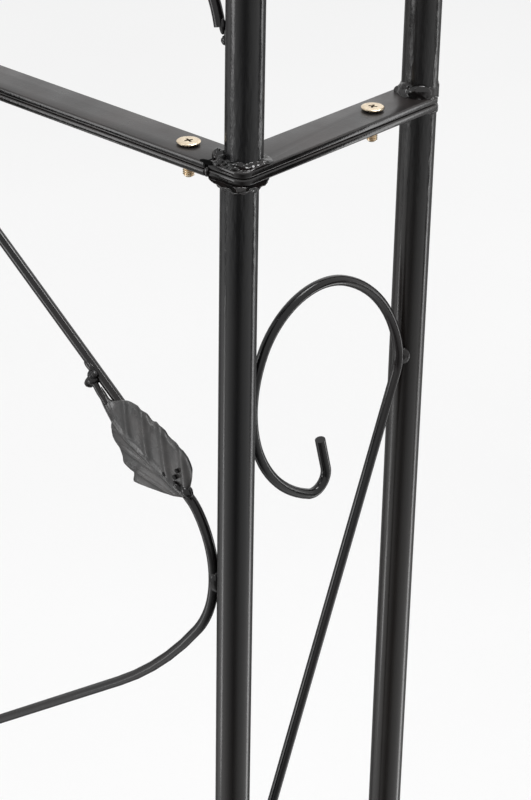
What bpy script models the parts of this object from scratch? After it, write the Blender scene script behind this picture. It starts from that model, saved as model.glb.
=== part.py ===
"""Steel rose arch: two U-shaped legs of four posts, two bolted half hoops on each, scrolls, vines and leaves.

Metres, +Z up. X runs across the passage, Y through it with the front at -Y, and the origin is on the ground
below the middle. A place in a panel is given by how far it lies in from the outer post towards the passage
(across), in from the panel's own post towards the other face (inward), and above the bolted joint (height).
"""

import math

import bmesh
import bpy
from mathutils import Matrix, Vector

# Overall sizes
HEIGHT = 2.400  # ground to the top edge of the crown bars
ARCH_WIDTH = 1.384  # between the axes of the left and right outer posts
LEG_WIDTH = 0.1148  # between the axes of an outer and an inner post
DEPTH = 0.440  # between the axes of the front and rear posts
JOINT_Z = 1.000  # top face of the bolted bars halfway up each leg
HOOP_INSET = 0.0025  # how far an outer hoop tube stands in from the outer post below it

# Stock and clearances
TUBE_DIAMETER = 0.016
TUBE_WALL = 0.0012
BAR_WIDTH = 0.020
BAR_THICKNESS = 0.003
BAR_PAST_POST = 0.0088  # from an outer post's axis to the end of a bar
BAR_PAST_INNER_POST = 0.0010  # from an inner post's axis to the end of a bar
WIRE_DIAMETER = 0.0048
GAP = 0.0003  # between pieces that touch
WELD_LAP = 0.0015  # how far wires that are welded to each other run into each other

# Screws
SCREW_DIAMETER = 0.005
SCREW_HEAD_DIAMETER = 0.0101
SCREW_HEAD_HEIGHT = 0.0013
SCREW_HEAD_NECK = 0.0072
SCREW_REACH = 0.0145  # from the seat of the head to the tip
HOLE_CLEARANCE = 0.0003  # all round a screw
SCREW_FROM_OUTER_POST = 0.0285  # along a side bar or the crown bar
SCREW_FROM_INNER_POST = 0.0315  # along a front or rear bar

# Scroll: the upper curl of an S, as arcs from its stem out to its tip
SCROLL_STEM = 0.2644
SCROLL_LEAN = 69.9  # degrees between the stem and the horizontal
SCROLL_RADII = (0.0230, 0.0637, 0.0386, 0.0596, 0.0080)
SCROLL_DEGREES = (32.3, 54.3, 87.6, 93.0, 127.6)
SCROLL_CHORDS = (1, 2, 3, 2, 3)
SCROLL_TIP = 0.0165
SCROLL_LOWER_CURL = 0.58  # size of the lower curl over that of the upper one
SCROLL_NEST = 0.0022  # how much less than a scroll's height neighbouring scrolls stand apart
SCROLL_FROM_JOINT = 0.0710  # from the joint to the nearest point of the first scroll's centre line
SCROLL_TURN = (0.0010, -0.0040)  # how far in from the post's axis a scroll lies at its outer and inner side
SCROLL_STAGGER = 0.0007  # how much further in every other scroll lies
RUNG_CLEARANCE = 0.190  # about how high the lowest rungs stand

# Vine: the arcs of a bend, up and down from where it touches a post
VINE_UP_RADII = (0.0530, 0.0225)
VINE_DOWN_RADII = (0.0530, 0.2377)
VINE_DEGREES = (35.3, 18.0)
VINE_CHORDS = ((2, 1), (2, 2))  # of the bend up, and of the bend down
VINE_FIRST_TOUCH = 0.2014  # below the joint
VINE_START_TOUCH = 0.0438  # above the joint: where the vine on the hoop would touch the post
VINE_START_ANGLE = 11.4  # degrees of the bend that are missing there, because the wire is cut
CURVED_STEP = 0.100  # between points of a wire that follows the hoop
HOOP_CHORDS = 12

# Leaf
LEAF_LENGTH = 0.0633
LEAF_WIDTH = 0.0345
LEAF_THICKNESS = 0.0014
LEAF_UPPER_EDGE = (
    (0.05, 0.28), (0.12, 0.45), (0.25, 0.50), (0.37, 0.46), (0.48, 0.47), (0.53, 0.40), (0.66, 0.41), (0.78, 0.29),
    (0.89, 0.09),
)  # shares of the length and the width, from base to tip
LEAF_LOWER_EDGE = (
    (0.05, 0.10), (0.13, 0.23), (0.28, 0.44), (0.41, 0.59), (0.43, 0.47), (0.55, 0.50), (0.61, 0.42), (0.67, 0.40),
    (0.78, 0.27), (0.92, 0.10),
)
LEAF_TURN = -8.0  # degrees between the wire and the leaf's rib
LEAF_SETOFF = (0.0013, 0.0023)  # of the leaf's base from the bend: along the wire, and above it

OUTER_X = ARCH_WIDTH / 2
HALF_DEPTH = DEPTH / 2
TUBE_RADIUS = TUBE_DIAMETER / 2
WIRE_RADIUS = WIRE_DIAMETER / 2
LOWER_BAR_TOP = JOINT_Z - BAR_THICKNESS - GAP
LOWER_BAR_BOTTOM = LOWER_BAR_TOP - BAR_THICKNESS
POST_TOP = LOWER_BAR_BOTTOM - GAP
HOOP_FOOT = JOINT_Z + GAP
CROWN_Z = HEIGHT - BAR_WIDTH / 2
CROWN_SEAT_X = BAR_THICKNESS + 1.5 * GAP  # where each hoop tube ends, against its crown frame
OUTER_RADIUS = OUTER_X - HOOP_INSET - CROWN_SEAT_X
INNER_RADIUS = OUTER_X - LEG_WIDTH - CROWN_SEAT_X
SPRING_Z = CROWN_Z - OUTER_RADIUS
STRAIGHT_RUN = SPRING_Z - JOINT_Z
HOOP_CHORD_ANGLE = math.radians(90) / HOOP_CHORDS
HOOP_CORNER = OUTER_RADIUS * (1 / math.cos(HOOP_CHORD_ANGLE / 2) - 1)  # how far a corner stands off the arc
SIDES = {"left": -1, "right": 1}
FACES = {"front": -1, "rear": 1}


def clear_scene():
    for thing in list(bpy.data.objects):
        bpy.data.objects.remove(thing, do_unlink=True)


def new_collection(name):
    collection = bpy.data.collections.new(name)
    bpy.context.scene.collection.children.link(collection)
    return collection


def paint(name, colour, roughness, metallic):
    material = bpy.data.materials.new(name)
    material.use_nodes = True
    shader = material.node_tree.nodes["Principled BSDF"]
    shader.inputs["Base Color"].default_value = (*colour, 1.0)
    shader.inputs["Roughness"].default_value = roughness
    shader.inputs["Metallic"].default_value = metallic
    material.diffuse_color = (*colour, 1.0)
    return material


def link(name, data, collection, material):
    thing = bpy.data.objects.new(name, data)
    collection.objects.link(thing)
    if not data.materials:
        data.materials.append(material)
    return thing


def on_leg(side, face, across, inward, height):
    """A point beside the straight posts."""
    return Vector((side * (OUTER_X - across), face * (HALF_DEPTH - inward), JOINT_Z + height))


def on_hoop(side, face, across, inward, height, reference):
    """A point beside a hoop, where the height is the run along the line that lies `reference` across."""
    if height <= STRAIGHT_RUN:
        return on_leg(side, face, across, inward, height)
    angle = (height - STRAIGHT_RUN) / (OUTER_X - CROWN_SEAT_X - reference)
    radius = OUTER_X - CROWN_SEAT_X - across
    return Vector(
        (
            side * (CROWN_SEAT_X + radius * math.cos(angle)),
            face * (HALF_DEPTH - inward),
            SPRING_Z + radius * math.sin(angle),
        )
    )


def turn_along(start, heading, radii, turns, chord_counts):
    """Points on a chain of arcs that bend to the left, or to the right where the degrees are negative."""
    points = [Vector(start)]
    angle = math.radians(heading)
    for radius, degrees, chords in zip(radii, turns, chord_counts):
        bend = math.copysign(1.0, degrees)
        centre = points[-1] + bend * radius * Vector((-math.sin(angle), math.cos(angle)))
        for _ in range(chords):
            angle += math.radians(degrees) / chords
            points.append(centre - bend * radius * Vector((-math.sin(angle), math.cos(angle))))
    return points, math.degrees(angle)


def wire_curve(name, points, diameter, resolution, capped):
    """A bevelled curve through the points, with 4 + 2 x resolution sides."""
    curve = bpy.data.curves.new(name, "CURVE")
    curve.dimensions = "3D"
    curve.bevel_depth = diameter / 2
    curve.bevel_resolution = resolution
    curve.use_fill_caps = capped
    spline = curve.splines.new("POLY")
    spline.points.add(len(points) - 1)
    for spline_point, point in zip(spline.points, points):
        spline_point.co = (*point, 1.0)
    return curve


def as_mesh(name, curve, collection, material):
    """The curve's surface as a mesh object, with its caps welded on."""
    thing = link(name + "_path", curve, collection, material)
    bpy.context.view_layer.update()
    evaluated = thing.evaluated_get(bpy.context.evaluated_depsgraph_get())
    mesh = bpy.data.meshes.new_from_object(evaluated)
    place = thing.matrix_world.copy()
    bpy.data.objects.remove(thing, do_unlink=True)
    shape = bmesh.new()
    shape.from_mesh(mesh)
    bmesh.ops.remove_doubles(shape, verts=shape.verts, dist=0.00002)
    bmesh.ops.recalc_face_normals(shape, faces=shape.faces)
    shape.to_mesh(mesh)
    shape.free()
    mesh.name = name
    mesh.shade_smooth()
    mesh.set_sharp_from_angle(angle=math.radians(50))
    mesh_object = link(name, mesh, collection, material)
    mesh_object.matrix_world = place
    return mesh_object


def hollow_tube(name, points, collection, material):
    """An open-ended tube along the points."""
    tube = as_mesh(name, wire_curve(name, points, TUBE_DIAMETER, 2, False), collection, material)
    wall = tube.modifiers.new("wall", "SOLIDIFY")
    wall.thickness = TUBE_WALL
    wall.offset = -1.0
    return tube


def box(name, low, high, collection, material):
    mesh = bpy.data.meshes.new(name)
    shape = bmesh.new()
    bmesh.ops.create_cube(shape, size=1.0)
    bmesh.ops.scale(shape, vec=high - low, verts=shape.verts)
    shape.to_mesh(mesh)
    shape.free()
    thing = link(name, mesh, collection, material)
    thing.location = (low + high) / 2
    return thing


def helper(thing):
    thing.hide_render = True
    thing.display_type = "WIRE"
    return thing


def combine(thing, other, operation):
    change = thing.modifiers.new(other.name, "BOOLEAN")
    change.operation = operation
    change.object = other
    change.solver = "EXACT"


def drill(thing, place, axis, cutters, material):
    """A clearance hole for one screw through a bar."""
    mesh = bpy.data.meshes.new(thing.name + "_hole")
    shape = bmesh.new()
    radius = SCREW_DIAMETER / 2 + HOLE_CLEARANCE
    bmesh.ops.create_cone(
        shape, cap_ends=True, segments=12, radius1=radius, radius2=radius, depth=6 * BAR_THICKNESS
    )
    shape.to_mesh(mesh)
    shape.free()
    cutter = helper(link(f"{thing.name}_hole_{len(thing.modifiers) + 1}", mesh, cutters, material))
    cutter.location = place
    cutter.rotation_euler = axis.to_track_quat("Z", "Y").to_euler()
    combine(thing, cutter, "DIFFERENCE")


def screw_profile():
    """Half the outline of a flat-headed screw, from the middle of its head down to its tip."""
    head = SCREW_HEAD_DIAMETER / 2
    shank = SCREW_DIAMETER / 2
    chamfer = 0.1 * SCREW_DIAMETER
    return (
        (0.0, SCREW_HEAD_HEIGHT),
        (head - chamfer, SCREW_HEAD_HEIGHT),
        (head, SCREW_HEAD_HEIGHT - chamfer / 2),
        (head, SCREW_HEAD_HEIGHT / 2),
        (SCREW_HEAD_NECK / 2, 0.0),
        (shank, 0.0),
        (shank, chamfer - SCREW_REACH),
        (shank - chamfer, -SCREW_REACH),
        (0.0, -SCREW_REACH),
    )


def add_screw(name, seat, towards_head, collection, material):
    """A screw whose head rests on the seat, GAP clear of it."""
    profile = bpy.data.meshes.new(name)
    shape = bmesh.new()
    corners = [shape.verts.new((radius, 0.0, height)) for radius, height in screw_profile()]
    for first, second in zip(corners, corners[1:]):
        shape.edges.new((first, second))
    shape.to_mesh(profile)
    shape.free()
    screw = link(name, profile, collection, material)
    turned = screw.modifiers.new("turned", "SCREW")
    turned.steps = turned.render_steps = 8
    turned.use_merge_vertices = True
    turned.merge_threshold = 0.00001
    screw.location = seat + GAP * towards_head
    screw.rotation_euler = towards_head.to_track_quat("Z", "Y").to_euler()
    return screw


def hoop_corners(side, face, radius):
    """Points of a quarter hoop whose chords touch the true arc, so that its end lies flat on the crown frame."""
    corners = []
    for index in range(HOOP_CHORDS):
        angle = HOOP_CHORD_ANGLE * (index + 0.5)
        reach = radius / math.cos(HOOP_CHORD_ANGLE / 2)
        corners.append((reach * math.cos(angle), reach * math.sin(angle)))
    corners.append((0.0, radius))
    return [
        Vector((side * (CROWN_SEAT_X + along), face * HALF_DEPTH, SPRING_Z + up)) for along, up in corners
    ]


def post_name(side, place, face):
    return f"{side}_{place}_{face}"


def add_posts(side, parts, black):
    """The four straight posts of a leg and the four hoop tubes above them."""
    for place, across, inset, radius in (
        ("outer", 0.0, HOOP_INSET, OUTER_RADIUS),
        ("inner", LEG_WIDTH, 0.0, INNER_RADIUS),
    ):
        for face in FACES:
            foot = on_leg(SIDES[side], FACES[face], across, 0.0, -JOINT_Z)
            head = foot + Vector((0.0, 0.0, POST_TOP))
            hollow_tube(post_name(side, place, face) + "_post", (foot, head), parts, black)
            path = [on_leg(SIDES[side], FACES[face], across + inset, 0.0, HOOP_FOOT - JOINT_Z)]
            path += hoop_corners(SIDES[side], FACES[face], radius)
            hollow_tube(post_name(side, place, face) + "_hoop", path, parts, black)


def add_joint_bars(side, parts, cutters, black, zinc):
    """The doubled flat bars that bolt a leg to its half hoops, and their screws."""
    down = Vector((0.0, 0.0, -1.0))
    levels = {"lower": (LOWER_BAR_BOTTOM, LOWER_BAR_TOP), "upper": (JOINT_Z - BAR_THICKNESS, JOINT_Z)}
    half_bar = BAR_WIDTH / 2
    for level, (bottom, top) in levels.items():
        for face in FACES:
            near = on_leg(SIDES[side], FACES[face], -BAR_PAST_POST, -half_bar, 0.0)
            far = on_leg(SIDES[side], FACES[face], LEG_WIDTH + BAR_PAST_INNER_POST, half_bar, 0.0)
            low = Vector((min(near.x, far.x), min(near.y, far.y), bottom))
            high = Vector((max(near.x, far.x), max(near.y, far.y), top))
            bar = box(f"{side}_{face}_{level}_bar", low, high, parts, black)
            across = LEG_WIDTH - SCREW_FROM_INNER_POST
            drill(bar, on_leg(SIDES[side], FACES[face], across, 0.0, 0.0), down, cutters, black)
        reach = HALF_DEPTH - half_bar - GAP
        middle = SIDES[side] * OUTER_X
        low = Vector((middle - half_bar, -reach, bottom))
        high = Vector((middle + half_bar, reach, top))
        bar = box(f"{side}_side_{level}_bar", low, high, parts, black)
        for face in FACES:
            place = on_leg(SIDES[side], FACES[face], 0.0, SCREW_FROM_OUTER_POST, 0.0)
            drill(bar, place, down, cutters, black)
    for face in FACES:
        seat = on_leg(SIDES[side], FACES[face], LEG_WIDTH - SCREW_FROM_INNER_POST, 0.0, 0.0)
        add_screw(f"{side}_{face}_screw", seat, -down, parts, zinc)
        seat = on_leg(SIDES[side], FACES[face], 0.0, SCREW_FROM_OUTER_POST, 0.0)
        add_screw(f"{side}_side_{face}_screw", seat, -down, parts, zinc)


def crown_screw_places():
    """Where the screws of the crown joint sit, as (name, Y, Z)."""
    places = []
    for face, sign in FACES.items():
        places.append((f"crown_top_{face}_screw", sign * (HALF_DEPTH - SCREW_FROM_OUTER_POST), CROWN_Z))
        inner_z = SPRING_Z + INNER_RADIUS + SCREW_FROM_INNER_POST
        places.append((f"crown_{face}_screw", sign * HALF_DEPTH, inner_z))
    return places


def add_crown(parts, cutters, black, zinc):
    """The two flat U-frames in which the half hoops meet, and their screws."""
    sideways = Vector((-1.0, 0.0, 0.0))
    half_bar = BAR_WIDTH / 2
    end_y = HALF_DEPTH + half_bar
    inner_y = HALF_DEPTH - half_bar
    foot_z = SPRING_Z + INNER_RADIUS - BAR_PAST_POST
    outline = (
        (-end_y, foot_z),
        (-inner_y, foot_z),
        (-inner_y, CROWN_Z - half_bar),
        (inner_y, CROWN_Z - half_bar),
        (inner_y, foot_z),
        (end_y, foot_z),
        (end_y, HEIGHT),
        (-end_y, HEIGHT),
    )
    for side, sign in SIDES.items():
        name = f"{side}_crown_frame"
        curve = bpy.data.curves.new(name, "CURVE")
        curve.dimensions = "2D"
        curve.fill_mode = "BOTH"
        curve.extrude = BAR_THICKNESS / 2
        spline = curve.splines.new("POLY")
        spline.points.add(len(outline) - 1)
        spline.use_cyclic_u = True
        for spline_point, (y, z) in zip(spline.points, outline):
            spline_point.co = (y, z, 0.0, 1.0)
        frame = as_mesh(name, curve, parts, black)
        upright = Matrix(((0, 0, 1), (1, 0, 0), (0, 1, 0))).to_4x4()
        frame.matrix_world = Matrix.Translation((sign * (BAR_THICKNESS + GAP) / 2, 0.0, 0.0)) @ upright
        for _, y, z in crown_screw_places():
            drill(frame, Vector((0.0, y, z)), sideways, cutters, black)
    for name, y, z in crown_screw_places():
        seat = Vector((-BAR_THICKNESS - GAP / 2, y, z))
        add_screw(name, seat, sideways, parts, zinc)


def scroll_curl(size):
    """One curl of a scroll, from the end of the stem to the tip, about that end."""
    radii = [size * radius for radius in SCROLL_RADII]
    curl, heading = turn_along((0.0, 0.0), SCROLL_LEAN, radii, SCROLL_DEGREES, SCROLL_CHORDS)
    angle = math.radians(heading)
    curl.append(curl[-1] + size * SCROLL_TIP * Vector((math.cos(angle), math.sin(angle))))
    return curl


def scroll_outline():
    """Centre line of one S-scroll from its lower tip to its upper one, as (across, height)."""
    lean = math.radians(SCROLL_LEAN)
    stem_end = SCROLL_STEM / 2 * Vector((math.cos(lean), math.sin(lean)))
    lower = [-stem_end - point for point in scroll_curl(SCROLL_LOWER_CURL)]
    return lower[::-1] + [stem_end + point for point in scroll_curl(1.0)]


def scroll_span(axis):
    """From the lowest to the highest value of a scroll's centre line along one axis."""
    values = [point[axis] for point in scroll_outline()]
    return min(values), max(values)


def scroll_pitch():
    """From one scroll to the next, so that their outermost turns are welded to each other."""
    low, high = scroll_span(1)
    return high - low - SCROLL_NEST


def scroll_count(run):
    """How many scrolls fit in a run."""
    return max(1, int((run - SCROLL_NEST) / scroll_pitch()))


def lower_scrolls():
    return scroll_count(JOINT_Z - SCROLL_FROM_JOINT - RUNG_CLEARANCE)


def rung_height():
    """The lowest rungs' centre line, against the joint: just below the last scroll."""
    scrolls = lower_scrolls() * scroll_pitch() + SCROLL_NEST
    return -SCROLL_FROM_JOINT - scrolls - WIRE_DIAMETER + WELD_LAP


def scroll_depth(across):
    """How far in from the post's axis a scroll lies, because the wires are set a little askew."""
    share = (across - TUBE_RADIUS) / (LEG_WIDTH - TUBE_DIAMETER)
    return SCROLL_TURN[0] + share * (SCROLL_TURN[1] - SCROLL_TURN[0])


def add_scrolls(side, face, parts, cutters, black):
    """The scrolls of one narrow face: one welded set under the joint, and one along the hoops."""
    pitch = scroll_pitch()
    near, far = scroll_span(0)
    low, high = scroll_span(1)
    for level, inset, corner in (("lower", 0.0, 0.0), ("upper", HOOP_INSET, HOOP_CORNER)):
        room = LEG_WIDTH - inset - corner - TUBE_DIAMETER - WIRE_DIAMETER - 2 * GAP
        squeeze = room / (far - near)
        middle = (LEG_WIDTH + inset - corner) / 2
        if level == "lower":
            middles = [-SCROLL_FROM_JOINT - high - index * pitch for index in range(lower_scrolls())]
        else:
            run = STRAIGHT_RUN + math.radians(90) * (OUTER_RADIUS + INNER_RADIUS) / 2
            count = scroll_count(run - 2 * SCROLL_FROM_JOINT)
            first = (run - count * pitch - SCROLL_NEST) / 2 - low
            middles = [first + index * pitch for index in range(count)]
        scrolls = []
        for index, height in enumerate(middles):
            path = []
            for point in scroll_outline():
                across = middle + squeeze * (point.x - (near + far) / 2)
                depth = scroll_depth(across) + index % 2 * SCROLL_STAGGER
                path.append(on_hoop(SIDES[side], FACES[face], across, depth, height + point.y, middle))
            name = f"{side}_{face}_{level}_scrolls"
            home = parts
            if index > 0:
                name += f"_{index + 1}"
                home = cutters
            scrolls.append(as_mesh(name, wire_curve(name, path, WIRE_DIAMETER, 1, True), home, black))
        if level == "lower":
            name = f"{side}_{face}_rung"
            path = []
            for across in (TUBE_RADIUS + GAP, LEG_WIDTH - TUBE_RADIUS - GAP):
                depth = scroll_depth(across)
                path.append(on_leg(SIDES[side], FACES[face], across, depth, rung_height()))
            scrolls.append(as_mesh(name, wire_curve(name, path, WIRE_DIAMETER, 1, True), cutters, black))
        for other in scrolls[1:]:
            combine(scrolls[0], helper(other), "UNION")


def add_side_rung(side, parts, black):
    """The lowest rung between the two outer posts."""
    name = f"{side}_side_rung"
    path = [
        on_leg(SIDES[side], sign, 0.0, TUBE_RADIUS + GAP, rung_height()) for sign in FACES.values()
    ]
    link(name, wire_curve(name, path, WIRE_DIAMETER, 1, True), parts, black)


def vine_offset():
    """From the outer posts' axes to a vine's centre line, so that the two vines pass each other."""
    return WIRE_RADIUS + GAP / 2


def vine_touch():
    """How far in from a post's axis a vine passes it."""
    clear = TUBE_RADIUS + WIRE_RADIUS + GAP
    return math.sqrt(clear**2 - vine_offset() ** 2)


def vine_bend(height):
    """A vine's bend at a post, from its upper arm down to its lower arm, as (inward, height)."""
    touch = Vector((vine_touch(), height))
    right_turns = [-degrees for degrees in VINE_DEGREES]
    upper, _ = turn_along(touch, 90.0, VINE_UP_RADII, right_turns, VINE_CHORDS[0])
    lower, _ = turn_along(touch, -90.0, VINE_DOWN_RADII, VINE_DEGREES, VINE_CHORDS[1])
    return upper[::-1] + lower[1:]


def vine_slope():
    """Rise over run of a vine's straight arms."""
    return math.tan(math.radians(90.0 - sum(VINE_DEGREES)))


def vine_pitch():
    """From where a vine touches one post to where it touches the opposite one."""
    bend = vine_bend(0.0)
    run = DEPTH - bend[0].x - bend[-1].x
    return bend[0].y - bend[-1].y + run * vine_slope()


def opposite(points):
    return [Vector((DEPTH - point.x, point.y)) for point in points]


def vine_touches(first, top, bottom):
    """Every bend from the one above the top to the one below the bottom, as (height, at the opposite post)."""
    pitch = vine_pitch()
    above = math.ceil((top - first) / pitch)
    below = math.ceil((first - bottom) / pitch)
    return [(first + step * pitch, step % 2 == 1) for step in range(above, -below - 1, -1)]


def point_at(path, height):
    """Where a falling path passes a height."""
    for first, second in zip(path, path[1:]):
        if second.y <= height <= first.y:
            return first.lerp(second, (first.y - height) / (first.y - second.y))
    return path[-1]


def follow_hoop(points):
    """The same path with points added where it runs round the hoop."""
    path = [points[0]]
    for first, second in zip(points, points[1:]):
        parts = 1
        if max(first.y, second.y) > STRAIGHT_RUN:
            parts = math.ceil((second - first).length / CURVED_STEP)
        path += [first.lerp(second, part / parts) for part in range(1, parts + 1)]
    return path


def cut_bend(height):
    """The upper arm of a bend whose wire is cut just above where it would touch the post."""
    radius = VINE_UP_RADII[0]
    cut = math.radians(VINE_START_ANGLE)
    start = Vector((vine_touch() + radius * (1 - math.cos(cut)), height + radius * math.sin(cut)))
    return vine_bend(height)[: sum(VINE_CHORDS[0])] + [start]


def vine_path(touches, top, bottom):
    """A vine from top to bottom through its bends. Without a bottom the wire is cut at its last bend."""
    path = []
    for index, (height, crossed) in enumerate(touches):
        cut = bottom is None and index == len(touches) - 1
        bend = cut_bend(height) if cut else vine_bend(height)
        path += opposite(bend) if crossed else bend
    end = path[-1] if bottom is None else point_at(path, bottom)
    return [point_at(path, top), *(point for point in path if end.y < point.y < top), end]


def leaf_curve(name, upwards):
    """A toothed leaf as thick as its pressed sheet, its base at the origin, its tip along +X.

    Its upper edge lies towards +Y where upwards is 1, and towards -Y where it is -1.
    """
    upper = [(share, across) for share, across in LEAF_UPPER_EDGE]
    lower = [(share, -across) for share, across in reversed(LEAF_LOWER_EDGE)]
    outline = [(0.0, 0.0), *upper, (1.0, 0.0), *lower]
    curve = bpy.data.curves.new(name, "CURVE")
    curve.dimensions = "2D"
    curve.fill_mode = "BOTH"
    curve.extrude = LEAF_THICKNESS / 2
    spline = curve.splines.new("POLY")
    spline.points.add(len(outline) - 1)
    spline.use_cyclic_u = True
    for spline_point, (share, across) in zip(spline.points, outline):
        spline_point.co = (LEAF_LENGTH * share, upwards * LEAF_WIDTH * across, 0.0, 1.0)
    return curve


def add_leaf(name, base, tip, outwards, rise, cutters, black):
    """A leaf lying on the outside of a wire, from its base towards its tip, its upper edge on the side of rise."""
    along = (tip - base).normalized()
    along = (along - along.dot(outwards) * outwards).normalized()
    across = outwards.cross(along)
    leaf = helper(as_mesh(name, leaf_curve(name, math.copysign(1.0, across.dot(rise))), cutters, black))
    sheet = outwards * (WIRE_RADIUS - WELD_LAP / 2 + LEAF_THICKNESS / 2)
    turned = Matrix((along, across, outwards)).transposed().to_4x4()
    leaf.matrix_world = Matrix.Translation(base + sheet) @ turned
    return leaf


def leaf_rib(height):
    """The base and tip of the leaf on the arm above a bend, as (inward, height)."""
    arm = vine_bend(height)[0]
    direction = Vector((1.0, vine_slope())).normalized()
    spin = math.radians(LEAF_TURN)
    rib = Vector(
        (
            direction.x * math.cos(spin) - direction.y * math.sin(spin),
            direction.x * math.sin(spin) + direction.y * math.cos(spin),
        )
    )
    above = Vector((-direction.y, direction.x))
    base = arm + LEAF_SETOFF[0] * direction + LEAF_SETOFF[1] * above
    return [base, base + LEAF_LENGTH * rib]


def add_vine(name, place, touches, ends, parts, cutters, black):
    """One vine with a leaf on the arm above each whole bend; `place` puts a point of it in the world."""
    points = [place(point, 0.0) for point in follow_hoop(vine_path(touches, *ends))]
    vine = as_mesh(name, wire_curve(name, points, WIRE_DIAMETER, 1, True), parts, black)
    leaf_room = vine_bend(0.0)[0].y + LEAF_LENGTH
    leaved = [touch for touch in touches[:-1] if touch[0] + leaf_room < ends[0]]
    for index, (height, crossed) in enumerate(leaved):
        rib = opposite(leaf_rib(height)) if crossed else leaf_rib(height)
        middle = rib[0].lerp(rib[1], 0.5)
        outwards = (place(middle, WIRE_RADIUS) - place(middle, 0.0)).normalized()
        base, tip = (place(point, 0.0) for point in rib)
        rise = place(middle + Vector((0.0, LEAF_WIDTH)), 0.0) - place(middle, 0.0)
        leaf = add_leaf(f"{name}_leaf_{index + 1}", base, tip, outwards, rise, cutters, black)
        combine(vine, leaf, "UNION")


def add_vines(side, parts, cutters, black):
    """The two crossing vines of a leg's wide side, and the two that go on over its half hoop."""
    end_room = WIRE_RADIUS * math.cos(math.atan(vine_slope())) + GAP
    lower_top = LOWER_BAR_BOTTOM - JOINT_Z - end_room
    lower_bottom = rung_height() + WIRE_RADIUS + end_room
    lower_touches = vine_touches(-VINE_FIRST_TOUCH, lower_top, lower_bottom)
    upper_top = STRAIGHT_RUN + math.radians(90) * OUTER_RADIUS - WIRE_RADIUS - GAP
    upper_touches = vine_touches(VINE_START_TOUCH, upper_top, VINE_START_TOUCH)
    for face, sign in FACES.items():
        offset = sign * vine_offset()

        def place_lower(point, outwards, sign=sign, offset=offset):
            return on_leg(SIDES[side], sign, offset - outwards, point.x, point.y)

        def place_upper(point, outwards, sign=sign, offset=offset):
            across = HOOP_INSET + offset - outwards
            return on_hoop(SIDES[side], sign, across, point.x, point.y, HOOP_INSET)

        name = f"{side}_{face}_lower_vine"
        add_vine(name, place_lower, lower_touches, (lower_top, lower_bottom), parts, cutters, black)
        name = f"{side}_{face}_upper_vine"
        add_vine(name, place_upper, upper_touches, (upper_top, None), parts, cutters, black)


def main():
    clear_scene()
    parts = new_collection("rose_arch")
    cutters = new_collection("cutters")
    black = paint("black_paint", (0.018, 0.018, 0.020), 0.35, 0.0)
    bar_black = paint("bar_paint", (0.030, 0.028, 0.030), 0.45, 0.0)
    zinc = paint("yellow_zinc", (0.72, 0.56, 0.32), 0.32, 1.0)
    for side in SIDES:
        add_posts(side, parts, black)
        add_joint_bars(side, parts, cutters, bar_black, zinc)
        for face in FACES:
            add_scrolls(side, face, parts, cutters, black)
        add_side_rung(side, parts, black)
        add_vines(side, parts, cutters, black)
    add_crown(parts, cutters, bar_black, zinc)


main()
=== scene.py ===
"""Dressed model of a steel rose arch: painted tubes, doubled bars, scrolls, vines, leaves and screws.

Metres, +Z up. X runs across the passage and Y through it, with the front at -Y, and the origin is on the
ground below the middle. A place in a panel is given by how far it lies in from the outer post towards the
passage (across), in from the panel's own post towards the other face (inward), and above the bolted joint
(height).
"""

import logging
import math
from dataclasses import dataclass
from enum import Enum
from functools import cache
from typing import Callable, Iterable, Optional, Sequence

import bmesh
import bpy
from mathutils import Matrix, Vector, noise


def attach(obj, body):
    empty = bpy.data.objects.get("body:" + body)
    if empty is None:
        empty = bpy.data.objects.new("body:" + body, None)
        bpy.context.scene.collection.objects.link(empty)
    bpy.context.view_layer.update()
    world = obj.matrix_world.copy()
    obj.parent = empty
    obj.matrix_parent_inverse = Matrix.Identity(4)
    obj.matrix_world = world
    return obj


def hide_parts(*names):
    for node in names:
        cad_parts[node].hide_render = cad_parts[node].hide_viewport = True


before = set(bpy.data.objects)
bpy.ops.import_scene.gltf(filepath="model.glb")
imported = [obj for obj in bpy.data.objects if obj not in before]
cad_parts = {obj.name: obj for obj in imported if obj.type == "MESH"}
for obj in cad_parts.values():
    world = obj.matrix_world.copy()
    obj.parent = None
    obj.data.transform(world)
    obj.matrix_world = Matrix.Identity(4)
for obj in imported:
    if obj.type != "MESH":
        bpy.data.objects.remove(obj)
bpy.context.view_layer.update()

LOG = logging.getLogger("rose_arch")
BODY = "root"
UP = Vector((0.0, 0.0, 1.0))
WHITE = (1.0, 1.0, 1.0, 1.0)
WIRE_MERGE = 0.00001
FINE_MERGE = 0.000005
END_EASING = 0.16
BEAD_LUMPS = ((0.30, 0.7, 0.0), (0.10, 3.0, 5.0))
LARGEST_CHORD = 4.0
NOISE_MIDDLE = (0.3, 0.7)

BMesh = bmesh.types.BMesh
Material = bpy.types.Material
Node = bpy.types.Node
Object = bpy.types.Object
Socket = bpy.types.NodeSocket
Verts = Iterable[bmesh.types.BMVert]
Pairs = Sequence[tuple[float, float]]
Rows = Sequence[tuple[float, ...]]


class Slot(Enum):
    """The record's material slots."""

    TUBE = "painted_tube"
    BAR = "painted_bar"
    WIRE = "painted_wire"
    ZINC = "yellow_zinc"


class Named(Enum):
    """A choice that is part of a node's name."""

    @property
    def word(self) -> str:
        """The choice as a node's name has it."""
        return self.name.lower()


class Level(Named):
    """The straight legs under the bolted joint, or the hoops above it."""

    LOWER = 0
    UPPER = 1


class Side(Named):
    """A leg of the arch, with the sign of its X."""

    LEFT = -1
    RIGHT = 1


class Face(Named):
    """A narrow face of a leg, with the sign of its Y."""

    FRONT = -1
    REAR = 1


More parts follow.
